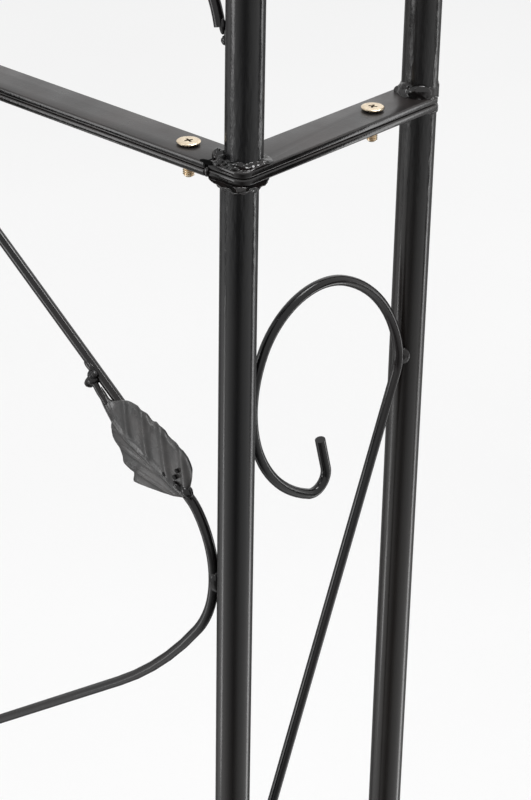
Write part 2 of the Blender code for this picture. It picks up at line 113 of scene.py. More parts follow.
@dataclass(frozen=True)
class ArchSizes:
    """The arch's main sizes and where its panels lie."""

    height: float = 2.400
    width: float = 1.384
    leg_width: float = 0.1148
    depth: float = 0.440
    joint_z: float = 1.000
    hoop_inset: float = 0.0025
    tube_radius: float = 0.008
    tube_wall: float = 0.0012
    bar_width: float = 0.020
    bar_thickness: float = 0.003
    bar_past_post: float = 0.0088
    wire_radius: float = 0.0024
    gap: float = 0.0003
    screw_from_outer_post: float = 0.0285
    screw_from_inner_post: float = 0.0315

    @property
    def outer_x(self) -> float:
        """From the middle to an outer post's axis."""
        return self.width / 2

    @property
    def half_depth(self) -> float:
        """From the middle to a post's axis, along Y."""
        return self.depth / 2

    @property
    def crown_seat(self) -> float:
        """From the middle to where a hoop tube ends, along X."""
        return self.bar_thickness + 1.5 * self.gap

    @property
    def outer_radius(self) -> float:
        """Radius of the outer hoops' centre line."""
        return self.outer_x - self.hoop_inset - self.crown_seat

    @property
    def inner_radius(self) -> float:
        """Radius of the inner hoops' centre line."""
        return self.outer_x - self.leg_width - self.crown_seat

    @property
    def spring_z(self) -> float:
        """Height at which the hoops begin to curve."""
        return self.height - self.bar_width / 2 - self.outer_radius

    @property
    def straight_run(self) -> float:
        """From the joint to where the hoops begin to curve."""
        return self.spring_z - self.joint_z

    @property
    def post_top(self) -> float:
        """Top end of the straight posts, under the lower bars."""
        return self.joint_z - 2 * (self.bar_thickness + self.gap)

    def on_leg(self, side: Side, face: Face, across: float, inward: float, height: float) -> Vector:
        """A point beside the straight posts.

        Args:
            side: The leg.
            face: The narrow face from which inward is measured.
            across: From the outer post towards the passage.
            inward: From the face's posts towards the other face.
            height: Above the bolted joint.

        Returns:
            The point in the row frame.
        """
        x = side.value * (self.outer_x - across)
        return Vector((x, face.value * (self.half_depth - inward), self.joint_z + height))

    def on_hoop(
        self, side: Side, face: Face, across: float, inward: float, height: float, reference: float
    ) -> Vector:
        """A point beside a hoop.

        Args:
            side: The leg.
            face: The narrow face from which inward is measured.
            across: From the outer post towards the passage.
            inward: From the face's posts towards the other face.
            height: The run above the joint, along the line that lies reference across.
            reference: That line's own place across.

        Returns:
            The point in the row frame.
        """
        if height <= self.straight_run:
            return self.on_leg(side, face, across, inward, height)
        angle = (height - self.straight_run) / (self.outer_x - self.crown_seat - reference)
        radius = self.outer_x - self.crown_seat - across
        x = side.value * (self.crown_seat + radius * math.cos(angle))
        z = self.spring_z + radius * math.sin(angle)
        return Vector((x, face.value * (self.half_depth - inward), z))

    def posts(self) -> tuple[tuple[str, float, float, float], ...]:
        """The two posts of each face.

        Returns:
            For the outer and the inner one, its word, its place across, and its hoop's inset and radius.
        """
        return (
            ("outer", 0.0, self.hoop_inset, self.outer_radius),
            ("inner", self.leg_width, 0.0, self.inner_radius),
        )

    def joint_screws(self, side: Side, face: Face) -> list[tuple[str, Vector]]:
        """The two screws at one face of a leg's joint.

        Args:
            side: The leg.
            face: The narrow face.

        Returns:
            Their names and seats.
        """
        front = self.on_leg(side, face, self.leg_width - self.screw_from_inner_post, 0.0, 0.0)
        wide = self.on_leg(side, face, 0.0, self.screw_from_outer_post, 0.0)
        return [(f"{side.word}_{face.word}_screw", front), (f"{side.word}_side_{face.word}_screw", wide)]

    def crown_screws(self) -> list[tuple[str, Vector]]:
        """The screws of the crown joint.

        Returns:
            Their names and seats.
        """
        seat_x = -self.bar_thickness - self.gap / 2
        places = []
        for face in Face:
            top_y = face.value * (self.half_depth - self.screw_from_outer_post)
            top = Vector((seat_x, top_y, self.height - self.bar_width / 2))
            places.append((f"crown_top_{face.word}_screw", top))
            z = self.spring_z + self.inner_radius + self.screw_from_inner_post
            places.append((f"crown_{face.word}_screw", Vector((seat_x, face.value * self.half_depth, z))))
        return places


ARCH = ArchSizes()


class Nodes:
    """Places and links the nodes of one material or world."""

    def __init__(self, tree: bpy.types.NodeTree) -> None:
        """Starts from an empty tree."""
        self.tree = tree
        tree.nodes.clear()

    def add(self, kind: str, inputs: Optional[dict] = None, **settings: object) -> Node:
        """Adds a node.

        Args:
            kind: The node's type, without its ShaderNode prefix.
            inputs: Values or sockets for its inputs, by name or number.
            settings: Values for its own properties.

        Returns:
            The node.
        """
        node = self.tree.nodes.new("ShaderNode" + kind)
        for key, value in settings.items():
            setattr(node, key, value)
        for key, value in (inputs or {}).items():
            if isinstance(value, Socket):
                self.tree.links.new(value, node.inputs[key])
            else:
                node.inputs[key].default_value = value
        return node

    def finish(self, shader: Node, kind: str = "OutputMaterial") -> None:
        """Makes a shader the surface."""
        self.add(kind, {"Surface": shader.outputs[0]})

    def glow(self, colour: object) -> Node:
        """A surface that gives off a colour."""
        return self.add("Emission", {"Color": colour, "Strength": 1.0})

    def mix(self, share: Socket, first: Node, second: Node) -> Node:
        """The first shader, with the given share of the second."""
        return self.add("MixShader", {0: share, 1: first.outputs[0], 2: second.outputs[0]})

    def calculate(self, operation: str, *values: object) -> Socket:
        """The result of one step of arithmetic."""
        return self.add("Math", dict(enumerate(values)), operation=operation).outputs[0]

    def place(self) -> Socket:
        """The place on the object, in its own coordinates."""
        return self.add("TexCoord").outputs["Object"]

    def seen(self) -> Socket:
        """Tells what is looked at from what lights the object.

        Returns:
            1 for what the camera, a gloss or a clear piece sees, and 0 for light on the object.
        """
        path = self.add("LightPath").outputs
        seen = self.calculate("MAXIMUM", path["Is Camera Ray"], path["Is Glossy Ray"])
        return self.calculate("MAXIMUM", seen, path["Is Transmission Ray"])

    def noise(self, scale: float, detail: float, stretch: Sequence[float] = (1.0, 1.0, 1.0)) -> Socket:
        """Noise on object coordinates.

        Args:
            scale: Lumps to the metre, roughly.
            detail: Layers of finer noise.
            stretch: Scale along each axis.

        Returns:
            The noise, from 0 to 1.
        """
        placed = self.add("Mapping", {"Vector": self.place(), "Scale": stretch}).outputs["Vector"]
        return self.add("TexNoise", {"Vector": placed, "Scale": scale, "Detail": detail}).outputs["Fac"]

    def ramp(self, value: Socket, stops: Iterable[tuple[float, Sequence[float]]]) -> Socket:
        """Turns a value into a colour.

        Args:
            value: The value to read.
            stops: The place and colour of each stop.

        Returns:
            The colour.
        """
        node = self.add("ValToRGB", {"Fac": value})
        elements = node.color_ramp.elements
        for index, (place, colour) in enumerate(stops):
            element = elements[index] if index < 2 else elements.new(place)
            element.position = place
            element.color = (*colour, 1.0)
        return node.outputs["Color"]

    def map(self, value: Socket, start: float, end: float, low: float, high: float) -> Socket:
        """Maps the range from start to end onto the range from low to high."""
        span = {"Value": value, "From Min": start, "From Max": end, "To Min": low, "To Max": high}
        return self.add("MapRange", span).outputs["Result"]

    def spread(self, value: Socket, low: float, high: float) -> Socket:
        """Maps the middle of a noise to the range from low to high."""
        return self.map(value, *NOISE_MIDDLE, low, high)

    def bump(self, height: Socket, depth: float, strength: object, under: Optional[Socket] = None) -> Socket:
        """A bump in the surface.

        Args:
            height: Its height.
            depth: Depth of a height of 1.
            strength: Its strength.
            under: The bumps that it lies on, if any.

        Returns:
            The surface's direction.
        """
        inputs = {"Height": height, "Distance": depth, "Strength": strength}
        if under is not None:
            inputs["Normal"] = under
        return self.add("Bump", inputs).outputs["Normal"]


def new_material(name: str) -> tuple[Material, Nodes]:
    """Makes an empty material.

    Args:
        name: The material's name.

    Returns:
        The material and its nodes.
    """
    made = bpy.data.materials.new(name)
    made.use_nodes = True
    return made, Nodes(made.node_tree)


@dataclass(frozen=True)
class Paint:
    """Satin black paint over steel, with brown-tinged patches, fine grain and paint runs."""

    name: str
    slot: Slot
    base: tuple[float, float, float]
    tinge: tuple[float, float, float]
    gloss: tuple[float, float]
    grain: float
    ripple: float
    patch_scale: float = 16.0
    stretch: tuple[float, float, float] = (1.0, 1.0, 0.25)
    specular: float = 0.5
    runs: float = 0.0
    runs_reach: float = 0.075
    patch_range: tuple[float, float] = (0.38, 0.68)
    gloss_scale: float = 60.0
    ripple_scale: float = 70.0
    ripple_depth: float = 0.0006
    runs_scale: float = 330.0
    runs_stretch: tuple[float, float, float] = (1.0, 1.0, 0.30)
    grain_scale: float = 900.0
    grain_depth: float = 0.00015

    @cache
    def material(self) -> Material:
        """Builds the material once, and gives it again after that.

        Returns:
            The material.
        """
        made, nodes = new_material(self.name)
        patches = nodes.noise(self.patch_scale, 4.0, self.stretch)
        colour = nodes.ramp(patches, zip(self.patch_range, (self.base, self.tinge)))
        gloss = nodes.spread(nodes.noise(self.gloss_scale, 3.0, self.stretch), *self.gloss)
        ripple = nodes.noise(self.ripple_scale, 2.0, self.stretch)
        surface = nodes.bump(ripple, self.ripple_depth, self.ripple)
        if self.runs:
            runs = nodes.noise(self.runs_scale, 3.0, self.runs_stretch)
            surface = nodes.bump(runs, self.ripple_depth, self.near_joint(nodes), surface)
        grain = nodes.bump(nodes.noise(self.grain_scale, 2.0), self.grain_depth, self.grain, surface)
        look = {"Base Color": colour, "Roughness": gloss, "Normal": grain}
        nodes.finish(nodes.add("BsdfPrincipled", {**look, "Specular IOR Level": self.specular}))
        return made

    def near_joint(self, nodes: Nodes) -> Socket:
        """How strong the paint's runs are.

        Args:
            nodes: The material's nodes.

        Returns:
            The full strength at the bolted joint, and none further off.
        """
        height = nodes.add("SeparateXYZ", {"Vector": nodes.place()}).outputs["Z"]
        away = nodes.calculate("ABSOLUTE", nodes.calculate("SUBTRACT", height, ARCH.joint_z))
        return nodes.map(away, 0.0, self.runs_reach, self.runs, 0.0)


@dataclass(frozen=True)
class Zinc:
    """Yellow zinc plating, with faint turning marks. A darker copy of it is painted shade in the screws'
    cross recesses.
    """

    name: str = "yellow_zinc"
    slot: Slot = Slot.ZINC
    bright: tuple[float, float, float] = (0.84, 0.72, 0.54)
    dull: tuple[float, float, float] = (0.60, 0.48, 0.35)
    tone_scale: float = 420.0
    tone_range: tuple[float, float] = (0.35, 0.75)
    gloss: tuple[float, float] = (0.24, 0.40)
    gloss_scale: float = 700.0
    mark_scale: float = 1400.0
    mark_depth: float = 0.0001
    marks: float = 0.25

    @cache
    def material(self) -> Material:
        """Builds the material once, and gives it again after that.

        Returns:
            The material.
        """
        made, nodes = new_material(self.name)
        tones = zip(self.tone_range, (self.bright, self.dull))
        colour = nodes.ramp(nodes.noise(self.tone_scale, 3.0), tones)
        gloss = nodes.spread(nodes.noise(self.gloss_scale, 2.0), *self.gloss)
        marks = nodes.bump(nodes.noise(self.mark_scale, 2.0), self.mark_depth, self.marks)
        look = {"Base Color": colour, "Metallic": 1.0, "Roughness": gloss, "Normal": marks}
        nodes.finish(nodes.add("BsdfPrincipled", look))
        return made


TUBE_PAINT = Paint(
    "tube_paint", Slot.TUBE, (0.003, 0.003, 0.0035), (0.010, 0.008, 0.007), (0.16, 0.26), 0.10, 0.22, runs=0.9
)
BAR_PAINT = Paint(
    "bar_paint", Slot.BAR, (0.010, 0.009, 0.009), (0.026, 0.021, 0.020), (0.26, 0.40), 0.35, 0.15,
    patch_scale=30.0, stretch=(1.0, 1.0, 1.0),
)
# Darker, less reflective copy of the bar paint for the bars' upright edges: painted shade.
SHADED_EDGE_PAINT = Paint(
    "bar_edge_paint", Slot.BAR, (0.002, 0.002, 0.002), (0.010, 0.008, 0.008), (0.09, 0.18), 0.20, 0.15,
    patch_scale=90.0, stretch=(1.0, 1.0, 1.0), specular=0.36,
)
WIRE_PAINT = Paint(
    "wire_paint", Slot.WIRE, (0.003, 0.003, 0.0035), (0.010, 0.008, 0.008), (0.14, 0.24), 0.15, 0.25,
    specular=0.36,
)
LEAF_PAINT = Paint(
    "leaf_paint", Slot.WIRE, (0.018, 0.018, 0.018), (0.040, 0.037, 0.036), (0.22, 0.34), 0.35, 0.35,
    patch_scale=90.0, stretch=(1.0, 1.0, 1.0),
)
WELD_PAINT = Paint(
    "weld_paint", Slot.BAR, (0.002, 0.002, 0.002), (0.009, 0.006, 0.006), (0.04, 0.12), 0.10, 0.60,
    patch_scale=160.0, stretch=(1.0, 1.0, 1.0), runs=0.25,
)
# Dull, near black paint for the bead in the hollow at each outer bar corner: painted shade.
PIT_PAINTED_SHADE = Paint(
    "pit_paint", Slot.BAR, (0.001, 0.001, 0.001), (0.002, 0.002, 0.002), (0.70, 0.90), 0.30, 0.40,
    specular=0.05,
)
YELLOW_ZINC = Zinc()
# Darker zinc for the faces sunk in the screws' cross recesses: painted shade.
RECESS_SHADE_ZINC = Zinc("zinc_recess", bright=(0.16, 0.12, 0.08), dull=(0.05, 0.04, 0.03))


def mesh_of(shape: BMesh, name: str) -> bpy.types.Mesh:
    """Turns a shape into mesh data.

    Args:
        shape: The shape. It is freed.
        name: The data's name.

    Returns:
        The data.
    """
    mesh = bpy.data.meshes.new(name)
    shape.to_mesh(mesh)
    shape.free()
    return mesh


def put(name: str, data: bpy.types.ID) -> Object:
    """Puts an object in the scene.

    Args:
        name: Its name.
        data: What it holds, such as a mesh or a lamp.

    Returns:
        The object.
    """
    thing = bpy.data.objects.new(name, data)
    bpy.context.scene.collection.objects.link(thing)
    return thing


def taken(carrier: Object, *helpers: Object) -> BMesh:
    """Takes an object's finished shape, and removes the object.

    Args:
        carrier: The object, with its modifiers.
        helpers: The objects that its modifiers use. They are removed too.

    Returns:
        The shape.
    """
    bpy.context.view_layer.update()
    mesh = bpy.data.meshes.new_from_object(carrier.evaluated_get(bpy.context.evaluated_depsgraph_get()))
    for thing in (carrier, *helpers):
        bpy.data.objects.remove(thing, do_unlink=True)
    shape = bmesh.new()
    shape.from_mesh(mesh)
    bpy.data.meshes.remove(mesh)
    return shape


def turned_to(direction: Vector) -> Matrix:
    """The turn that points +Z in the given direction."""
    return direction.to_track_quat("Z", "Y").to_matrix().to_4x4()


def add_piece(
    name: str, shape: BMesh, finish: Paint | Zinc, replaced: Sequence[str] = (), sharp: float = 42.0,
    turn_outwards: bool = True, second: Optional[Paint | Zinc] = None,
) -> None:
    """Makes a finished piece of a shape.

    Args:
        name: The piece's name.
        shape: Its mesh, in the row frame. It is freed.
        finish: Its surface.
        replaced: The CAD nodes it stands for.
        sharp: Edges that bend by more degrees than this stay sharp.
        turn_outwards: Whether to point all faces outwards, which a closed mesh allows.
        second: The surface of the faces that have material index 1.
    """
    if turn_outwards:
        bmesh.ops.recalc_face_normals(shape, faces=shape.faces)
    mesh = mesh_of(shape, name)
    mesh.shade_smooth()
    mesh.set_sharp_from_angle(angle=math.radians(sharp))
    for surface in filter(None, (finish, second)):
        mesh.materials.append(surface.material())
    piece = put(name, mesh)
    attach(piece, BODY)
    if replaced:
        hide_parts(*replaced)
    LOG.info("%s: %d faces, for %s", name, len(mesh.polygons), ", ".join(replaced) or "no node")


def ease(shape: BMesh, edges: Iterable[bmesh.types.BMEdge], offset: float, segments: int) -> None:
    """Rounds edges off.

    Args:
        shape: The mesh.
        edges: The edges.
        offset: How far from each edge its rounding begins.
        segments: Faces across the rounding.
    """
    bmesh.ops.bevel(
        shape, geom=list(edges), offset=offset, offset_type="OFFSET", segments=segments, profile=0.5,
        affect="EDGES", material=-1,
    )


def sweep(shape: BMesh, points: Sequence[Vector], radius: float, sides: int, capped: bool = True) -> None:
    """Adds a round wire or tube along a path.

    Args:
        shape: The mesh to add to.
        points: The path.
        radius: Of the wire.
        sides: Of its section, an even number.
        capped: Whether its ends are closed and eased.
    """
    curve = bpy.data.curves.new("path", "CURVE")
    curve.dimensions = "3D"
    curve.bevel_depth = radius
    curve.bevel_resolution = (sides - 4) // 2
    curve.use_fill_caps = capped
    spline = curve.splines.new("POLY")
    spline.points.add(len(points) - 1)
    for spline_point, point in zip(spline.points, points):
        spline_point.co = (*point, 1.0)
    wire = taken(put("path", curve))
    bpy.data.curves.remove(curve)
    bmesh.ops.remove_doubles(wire, verts=wire.verts, dist=WIRE_MERGE)
    if capped:
        rims = {edge for face in wire.faces if len(face.verts) > 4 for edge in face.edges}
        ease(wire, rims, END_EASING * radius, 2)
    merge_into(shape, wire)


def turn_about(shape: BMesh, outline: Pairs, place: Matrix, steps: int) -> list[bmesh.types.BMVert]:
    """Adds a shape turned about an axis.

    Args:
        shape: The mesh to add to.
        outline: Its section as (radius, height). A closed ring repeats its first point at its end.
        place: Where its axis goes.
        steps: Of the full turn.

    Returns:
        The new vertices.
    """
    turned = bmesh.new()
    corners = [turned.verts.new((radius, 0.0, height)) for radius, height in outline]
    edges = [turned.edges.new(pair) for pair in zip(corners, corners[1:])]
    bmesh.ops.spin(
        turned, geom=[*corners, *edges], cent=(0.0, 0.0, 0.0), axis=(0.0, 0.0, 1.0), angle=2 * math.pi,
        steps=steps, use_merge=True,
    )
    bmesh.ops.remove_doubles(turned, verts=turned.verts, dist=FINE_MERGE)
    bmesh.ops.transform(turned, matrix=place, verts=turned.verts)
    return merge_into(shape, turned)


def merge_into(shape: BMesh, other: BMesh) -> list[bmesh.types.BMVert]:
    """Adds another mesh to a shape and frees it.

    Args:
        shape: The mesh to add to.
        other: The mesh to add.

    Returns:
        The new vertices.
    """
    count = len(shape.verts)
    mesh = mesh_of(other, "other")
    shape.from_mesh(mesh)
    bpy.data.meshes.remove(mesh)
    shape.verts.ensure_lookup_table()
    return list(shape.verts)[count:]


def roughen(verts: Verts, centre: Vector, amount: float, lumps: float, seed: float) -> None:
    """Makes a surface lumpy, away from its centre.

    Args:
        verts: The vertices to move.
        centre: The point they are moved from.
        amount: How far, at most.
        lumps: Lumps to the metre.
        seed: Picks the pattern.
    """
    shift = Vector((seed * 1.7, seed * 3.1, seed * 5.3))
    for vert in verts:
        away = (vert.co - centre).normalized()
        vert.co += away * amount * noise.noise(vert.co * lumps + shift)


def bead(shape: BMesh, place: Vector, size: Sequence[float], seed: float, facing: Vector = UP) -> None:
    """Adds a bead of weld.

    Args:
        shape: The mesh to add to.
        place: Its middle.
        size: Its half sizes, the last along facing.
        seed: Any number. It picks the lumps.
        facing: The direction it stands along.
    """
    lump = bmesh.new()
    bmesh.ops.create_icosphere(lump, subdivisions=4, radius=1.0)
    bmesh.ops.scale(lump, vec=size, verts=lump.verts)
    bmesh.ops.transform(lump, matrix=Matrix.Translation(place) @ turned_to(facing), verts=lump.verts)
    for amount, lumps, shift in BEAD_LUMPS:
        roughen(lump.verts, place, amount * min(size), lumps / max(size), seed + shift)
    merge_into(shape, lump)


def fused(shape: BMesh, grain: float, rounds: int) -> BMesh:
    """Melts the overlapping lumps of a shape into one smooth surface.

    Args:
        shape: The lumps. They are freed.
        grain: Size of the new surface's faces.
        rounds: How often it is smoothed.

    Returns:
        The surface.
    """
    carrier = put("lumps", mesh_of(shape, "lumps"))
    melt = carrier.modifiers.new("melt", "REMESH")
    melt.mode, melt.voxel_size = "VOXEL", grain
    surface = taken(carrier)
    axes = {f"use_axis_{axis}": True for axis in "xyz"}
    for _ in range(rounds):
        bmesh.ops.smooth_vert(surface, verts=surface.verts, factor=0.5, **axes)
    return surface


def arcs(
    start: Vector, heading: float, radii: Sequence[float], turns: Sequence[float],
    steps: Optional[Sequence[int]] = None,
) -> tuple[list[Vector], float]:
    """Points on a chain of arcs in a plane.

    Args:
        start: The first point.
        heading: The direction there, in degrees.
        radii: Of the arcs.
        turns: Degrees of each arc, more than 0 to the left.
        steps: How many chords each arc takes. Without them a chord turns by 4 degrees at most.

    Returns:
        The points, and the direction at the last one.
    """
    points = [start.copy()]
    angle = math.radians(heading)
    for index, (radius, degrees) in enumerate(zip(radii, turns)):
        bend = math.copysign(radius, degrees)
        centre = points[-1] + bend * Vector((-math.sin(angle), math.cos(angle)))
        chords = steps[index] if steps else max(1, math.ceil(abs(degrees) / LARGEST_CHORD))
        for _ in range(chords):
            angle += math.radians(degrees) / chords
            points.append(centre - bend * Vector((-math.sin(angle), math.cos(angle))))
    return points, math.degrees(angle)


@dataclass
class Tubes:
    """The straight posts and the hoop tubes above them."""

    sides: int = 40
    hoop_steps: int = 72

    def path(self, side: Side, face: Face, across: float, inset: float, radius: float) -> list[Vector]:
        """Centre line of one hoop tube.

        Args:
            side: The leg.
            face: The narrow face.
            across: Where its post stands.
            inset: How far in the tube stands from the post below it.
            radius: Of the hoop.

        Returns:
            Its points, from the joint to the crown.
        """
        points = [ARCH.on_leg(side, face, across + inset, 0.0, ARCH.gap)]
        for step in range(self.hoop_steps + 1):
            angle = math.radians(90.0) * step / self.hoop_steps
            x = side.value * (ARCH.crown_seat + radius * math.cos(angle))
            z = ARCH.spring_z + radius * math.sin(angle)
            points.append(Vector((x, face.value * ARCH.half_depth, z)))
        return points

    def tube(self, node: str, points: Sequence[Vector]) -> None:
        """Makes one open-ended tube and gives it its wall.

        Args:
            node: The CAD node it stands for.
            points: Its centre line.
        """
        shape = bmesh.new()
        sweep(shape, points, ARCH.tube_radius, self.sides, capped=False)
        bmesh.ops.recalc_face_normals(shape, faces=shape.faces)
        bmesh.ops.solidify(shape, geom=shape.faces[:], thickness=ARCH.tube_wall)
        add_piece(node + "_tube", shape, TUBE_PAINT, [node])

    def build(self, side: Side) -> None:
        """Makes the eight tubes of one leg.

        Args:
            side: The leg.
        """
        for place, across, inset, radius in ARCH.posts():
            for face in Face:
                name = f"{side.word}_{place}_{face.word}"
                foot = ARCH.on_leg(side, face, across, 0.0, -ARCH.joint_z)
                self.tube(name + "_post", [foot, foot + UP * ARCH.post_top])
                self.tube(name + "_hoop", self.path(side, face, across, inset, radius))


@dataclass
class Bars:
    """The doubled flat bars of the joints and the crown frames, with eased edges."""

    corner: float = 0.0055
    corner_steps: int = 6
    easing: float = 0.0007
    easing_steps: int = 3
    hole_reach: float = 0.004
    edge_bend: float = 50.0
    edge_slant: float = 0.15
    corner_search: float = 0.001
    cad_merge: float = 0.000002
    frame_middle: float = 0.0017
    sharp: float = 60.0

    def eased_copy(self, node: str, holes: Sequence[Vector], rounded: Callable[[Vector], bool]) -> BMesh:
        """A copy of a CAD node with its sheared edges eased.

        Args:
            node: The CAD node.
            holes: Places of its screws, whose edges stay sharp.
            rounded: Whether the short corner edge at a point is rounded off.

        Returns:
            The mesh.
        """
        shape = bmesh.new()
        shape.from_mesh(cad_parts[node].data)
        bmesh.ops.remove_doubles(shape, verts=shape.verts, dist=self.cad_merge)
        flat = math.radians(1.0)
        bmesh.ops.dissolve_limit(shape, angle_limit=flat, verts=shape.verts, edges=shape.edges)
        corners = [edge for edge in self.bends(shape, holes) if rounded(self.middle(edge))]
        if corners:
            ease(shape, corners, self.corner, self.corner_steps)
        ease(shape, self.bends(shape, holes), self.easing, self.easing_steps)
        return shape

    def mark_edges(self, shape: BMesh) -> None:
        """Gives a bar's upright edge faces the second finish, a darker copy of the bar paint with less
        reflection, as painted shade.

        Args:
            shape: The bar's mesh.
        """
        shape.normal_update()
        for face in shape.faces:
            if abs(face.normal.z) < self.edge_slant:
                face.material_index = 1

    def middle(self, edge: bmesh.types.BMEdge) -> Vector:
        """The middle of an edge."""
        return (edge.verts[0].co + edge.verts[1].co) / 2

    def bends(self, shape: BMesh, holes: Sequence[Vector]) -> list[bmesh.types.BMEdge]:
        """The bent edges of a shape, apart from those round its holes.

        Args:
            shape: The mesh.
            holes: Places of its screws.

        Returns:
            The edges.
        """
        clear = self.hole_reach + ARCH.bar_thickness
        return [
            edge
            for edge in shape.edges
            if edge.is_manifold
            and edge.calc_face_angle(0.0) > math.radians(self.edge_bend)
            and all((self.middle(edge) - hole).length > clear for hole in holes)
        ]

    def build(self) -> None:
        """Makes every bar and both crown frames."""
        end_x = ARCH.outer_x + ARCH.bar_past_post
        end_y = ARCH.half_depth + ARCH.bar_width / 2

        def outer_corner(point: Vector) -> bool:
            """Whether a point is at the outer corner of a leg."""
            off_end = max(abs(abs(point.x) - end_x), abs(abs(point.y) - end_y))
            return off_end < self.corner_search

        for side in Side:
            seats = [seat for face in Face for _, seat in ARCH.joint_screws(side, face)]
            for level in Level:
                for run in ("front", "side", "rear"):
                    node = f"{side.word}_{run}_{level.word}_bar"
                    shape = self.eased_copy(node, seats, outer_corner)
                    self.mark_edges(shape)
                    # The upright edge faces take the darker copy, painted shade.
                    add_piece(f"{node}_eased", shape, BAR_PAINT, [node], self.sharp, second=SHADED_EDGE_PAINT)
            middle_x = side.value * self.frame_middle
            seats = [Vector((middle_x, seat.y, seat.z)) for _, seat in ARCH.crown_screws()]
            node = f"{side.word}_crown_frame"
            shape = self.eased_copy(node, seats, lambda point: False)
            add_piece(f"{node}_eased", shape, BAR_PAINT, [node], self.sharp)


@dataclass
class Screws:
    """Flat-headed machine screws with a cross recess and a rolled thread."""

    shank: float = 0.0025
    core: float = 0.00205
    head: float = 0.00505
    head_height: float = 0.0013
    neck: float = 0.0036
    rim: float = 0.00035
    reach: float = 0.0145
    pitch: float = 0.0008
    slot_length: float = 0.0050
    slot_width: float = 0.0013
    slot_depth: float = 0.0010
    slot_taper: float = 0.55
    slot_search: tuple[float, float] = (0.00003, 0.0001)
    steps: int = 40
    relief: tuple[float, float] = (0.0015, 0.0019)
    tip: float = 0.0006
    thread_steps: int = 20
    thread_room: float = 0.0026
    thread_from_tip: float = 0.0004
    thread_bite: float = 0.0002
    first_turn: float = 25.0
    next_turn: float = 47.0
    sharp: float = 35.0

    def head_and_core(self) -> BMesh:
        """The head with its recess, and the core of the threaded part.

        Returns:
            The mesh, with the seat of the head at the origin.
        """
        head, top, rim = self.head, self.head_height, self.rim
        outline = (
            (0.0, top), (head - 2.2 * rim, top), (head - 0.8 * rim, top - 0.3 * rim), (head, top - rim),
            (head, 0.45 * top), (head - rim, 0.25 * top), (self.neck, 0.0), (self.shank, 0.0),
            (self.shank, -self.relief[0]), (self.core, -self.relief[1]), (self.core, self.tip - self.reach),
            (self.core - self.tip, -self.reach), (0.0, -self.reach),
        )
        body = bmesh.new()
        turn_about(body, outline, Matrix.Identity(4), self.steps)
        bmesh.ops.recalc_face_normals(body, faces=body.faces)
        return self.recessed(body)

    def recessed(self, body: BMesh) -> BMesh:
        """Cuts the cross into the head, and gives the faces sunk in it material index 1, for a darker zinc
        that is painted shade.

        Args:
            body: The screw. It is freed.

        Returns:
            The cut screw.
        """
        blank = put("blank", mesh_of(body, "blank"))
        cutters = []
        for length, width in ((self.slot_length, self.slot_width), (self.slot_width, self.slot_length)):
            cross = bmesh.new()
            bmesh.ops.create_cube(cross, size=1.0)
            bmesh.ops.scale(cross, vec=(length, width, 2 * self.slot_depth), verts=cross.verts)
            low = [vert for vert in cross.verts if vert.co.z < 0.0]
            bmesh.ops.scale(cross, vec=(self.slot_taper, self.slot_taper, 1.0), verts=low)
            bmesh.ops.translate(cross, vec=(0.0, 0.0, self.head_height), verts=cross.verts)
            cutters.append(put("cutter", mesh_of(cross, "cutter")))
            cut = blank.modifiers.new("cut", "BOOLEAN")
            cut.operation, cut.object, cut.solver = "DIFFERENCE", cutters[-1], "EXACT"
        cut_body = taken(blank, *cutters)
        bmesh.ops.remove_doubles(cut_body, verts=cut_body.verts, dist=FINE_MERGE)
        below, beyond = self.slot_search
        # Faces sunk in the cross take the second material, painted shade.
        for face in cut_body.faces:
            middle = face.calc_center_median()
            sunk = 0.0 < middle.z < self.head_height - below
            face.material_index = int(sunk and middle.xy.length < self.slot_length / 2 + beyond)
        return cut_body

    def thread(self) -> BMesh:
        """The rolled thread, as one closed ridge wound round the core.

        Returns:
            The mesh.
        """
        shape = bmesh.new()
        steps = self.thread_steps
        total = int((self.reach - self.thread_room) / self.pitch * steps)
        start = self.thread_from_tip - self.reach
        inside = self.core - self.thread_bite
        section = (
            (inside, 0.0), (self.core, 0.0), (self.shank, 0.35), (self.shank, 0.5), (self.core, 0.85),
            (inside, 0.85),
        )
        corners = [shape.verts.new((radius, 0.0, start + share * self.pitch)) for radius, share in section]
        bmesh.ops.spin(
            shape, geom=[shape.faces.new(corners)], cent=(0.0, 0.0, 0.0), axis=(0.0, 0.0, 1.0),
            dvec=(0.0, 0.0, self.pitch / steps), angle=math.radians(360.0) * total / steps, steps=total,
            use_merge=False,
        )
        return shape

    def build(self) -> None:
        """Makes every screw."""
        screw = self.head_and_core()
        merge_into(screw, self.thread())
        bmesh.ops.recalc_face_normals(screw, faces=screw.faces)
        pattern = mesh_of(screw, "screw_pattern")
        upright = [pair for side in Side for face in Face for pair in ARCH.joint_screws(side, face)]
        places = [(*pair, UP) for pair in upright]
        places += [(*pair, Vector((-1.0, 0.0, 0.0))) for pair in ARCH.crown_screws()]
        for index, (name, seat, towards_head) in enumerate(places):
            shape = bmesh.new()
            shape.from_mesh(pattern)
            spin = Matrix.Rotation(math.radians(self.first_turn + self.next_turn * index), 4, "Z")
            seated = Matrix.Translation(seat + ARCH.gap * towards_head) @ turned_to(towards_head) @ spin
            bmesh.ops.transform(shape, matrix=seated, verts=shape.verts)
            add_piece(f"{name}_threaded", shape, YELLOW_ZINC, [name], self.sharp, False, RECESS_SHADE_ZINC)
        bpy.data.meshes.remove(pattern)


@dataclass(frozen=True)
class WeldForm:
    """The weld round one post and its hoop tube.

    The skirt stands on the bars and the collar hangs below them, both as (radius, height). Each pair of lumps
    is the radius of the smallest and the largest bead of a ring. Each corner bead is its place from the
    post's axis on top of the bars, as (across, inward, height), and its three half sizes.
    """

    skirt: Pairs
    collar: Pairs
    lumps_above: tuple[float, float]
    lumps_below: tuple[float, float]
    corner_beads: Rows
    heavy_lean: float
    trimmed: bool


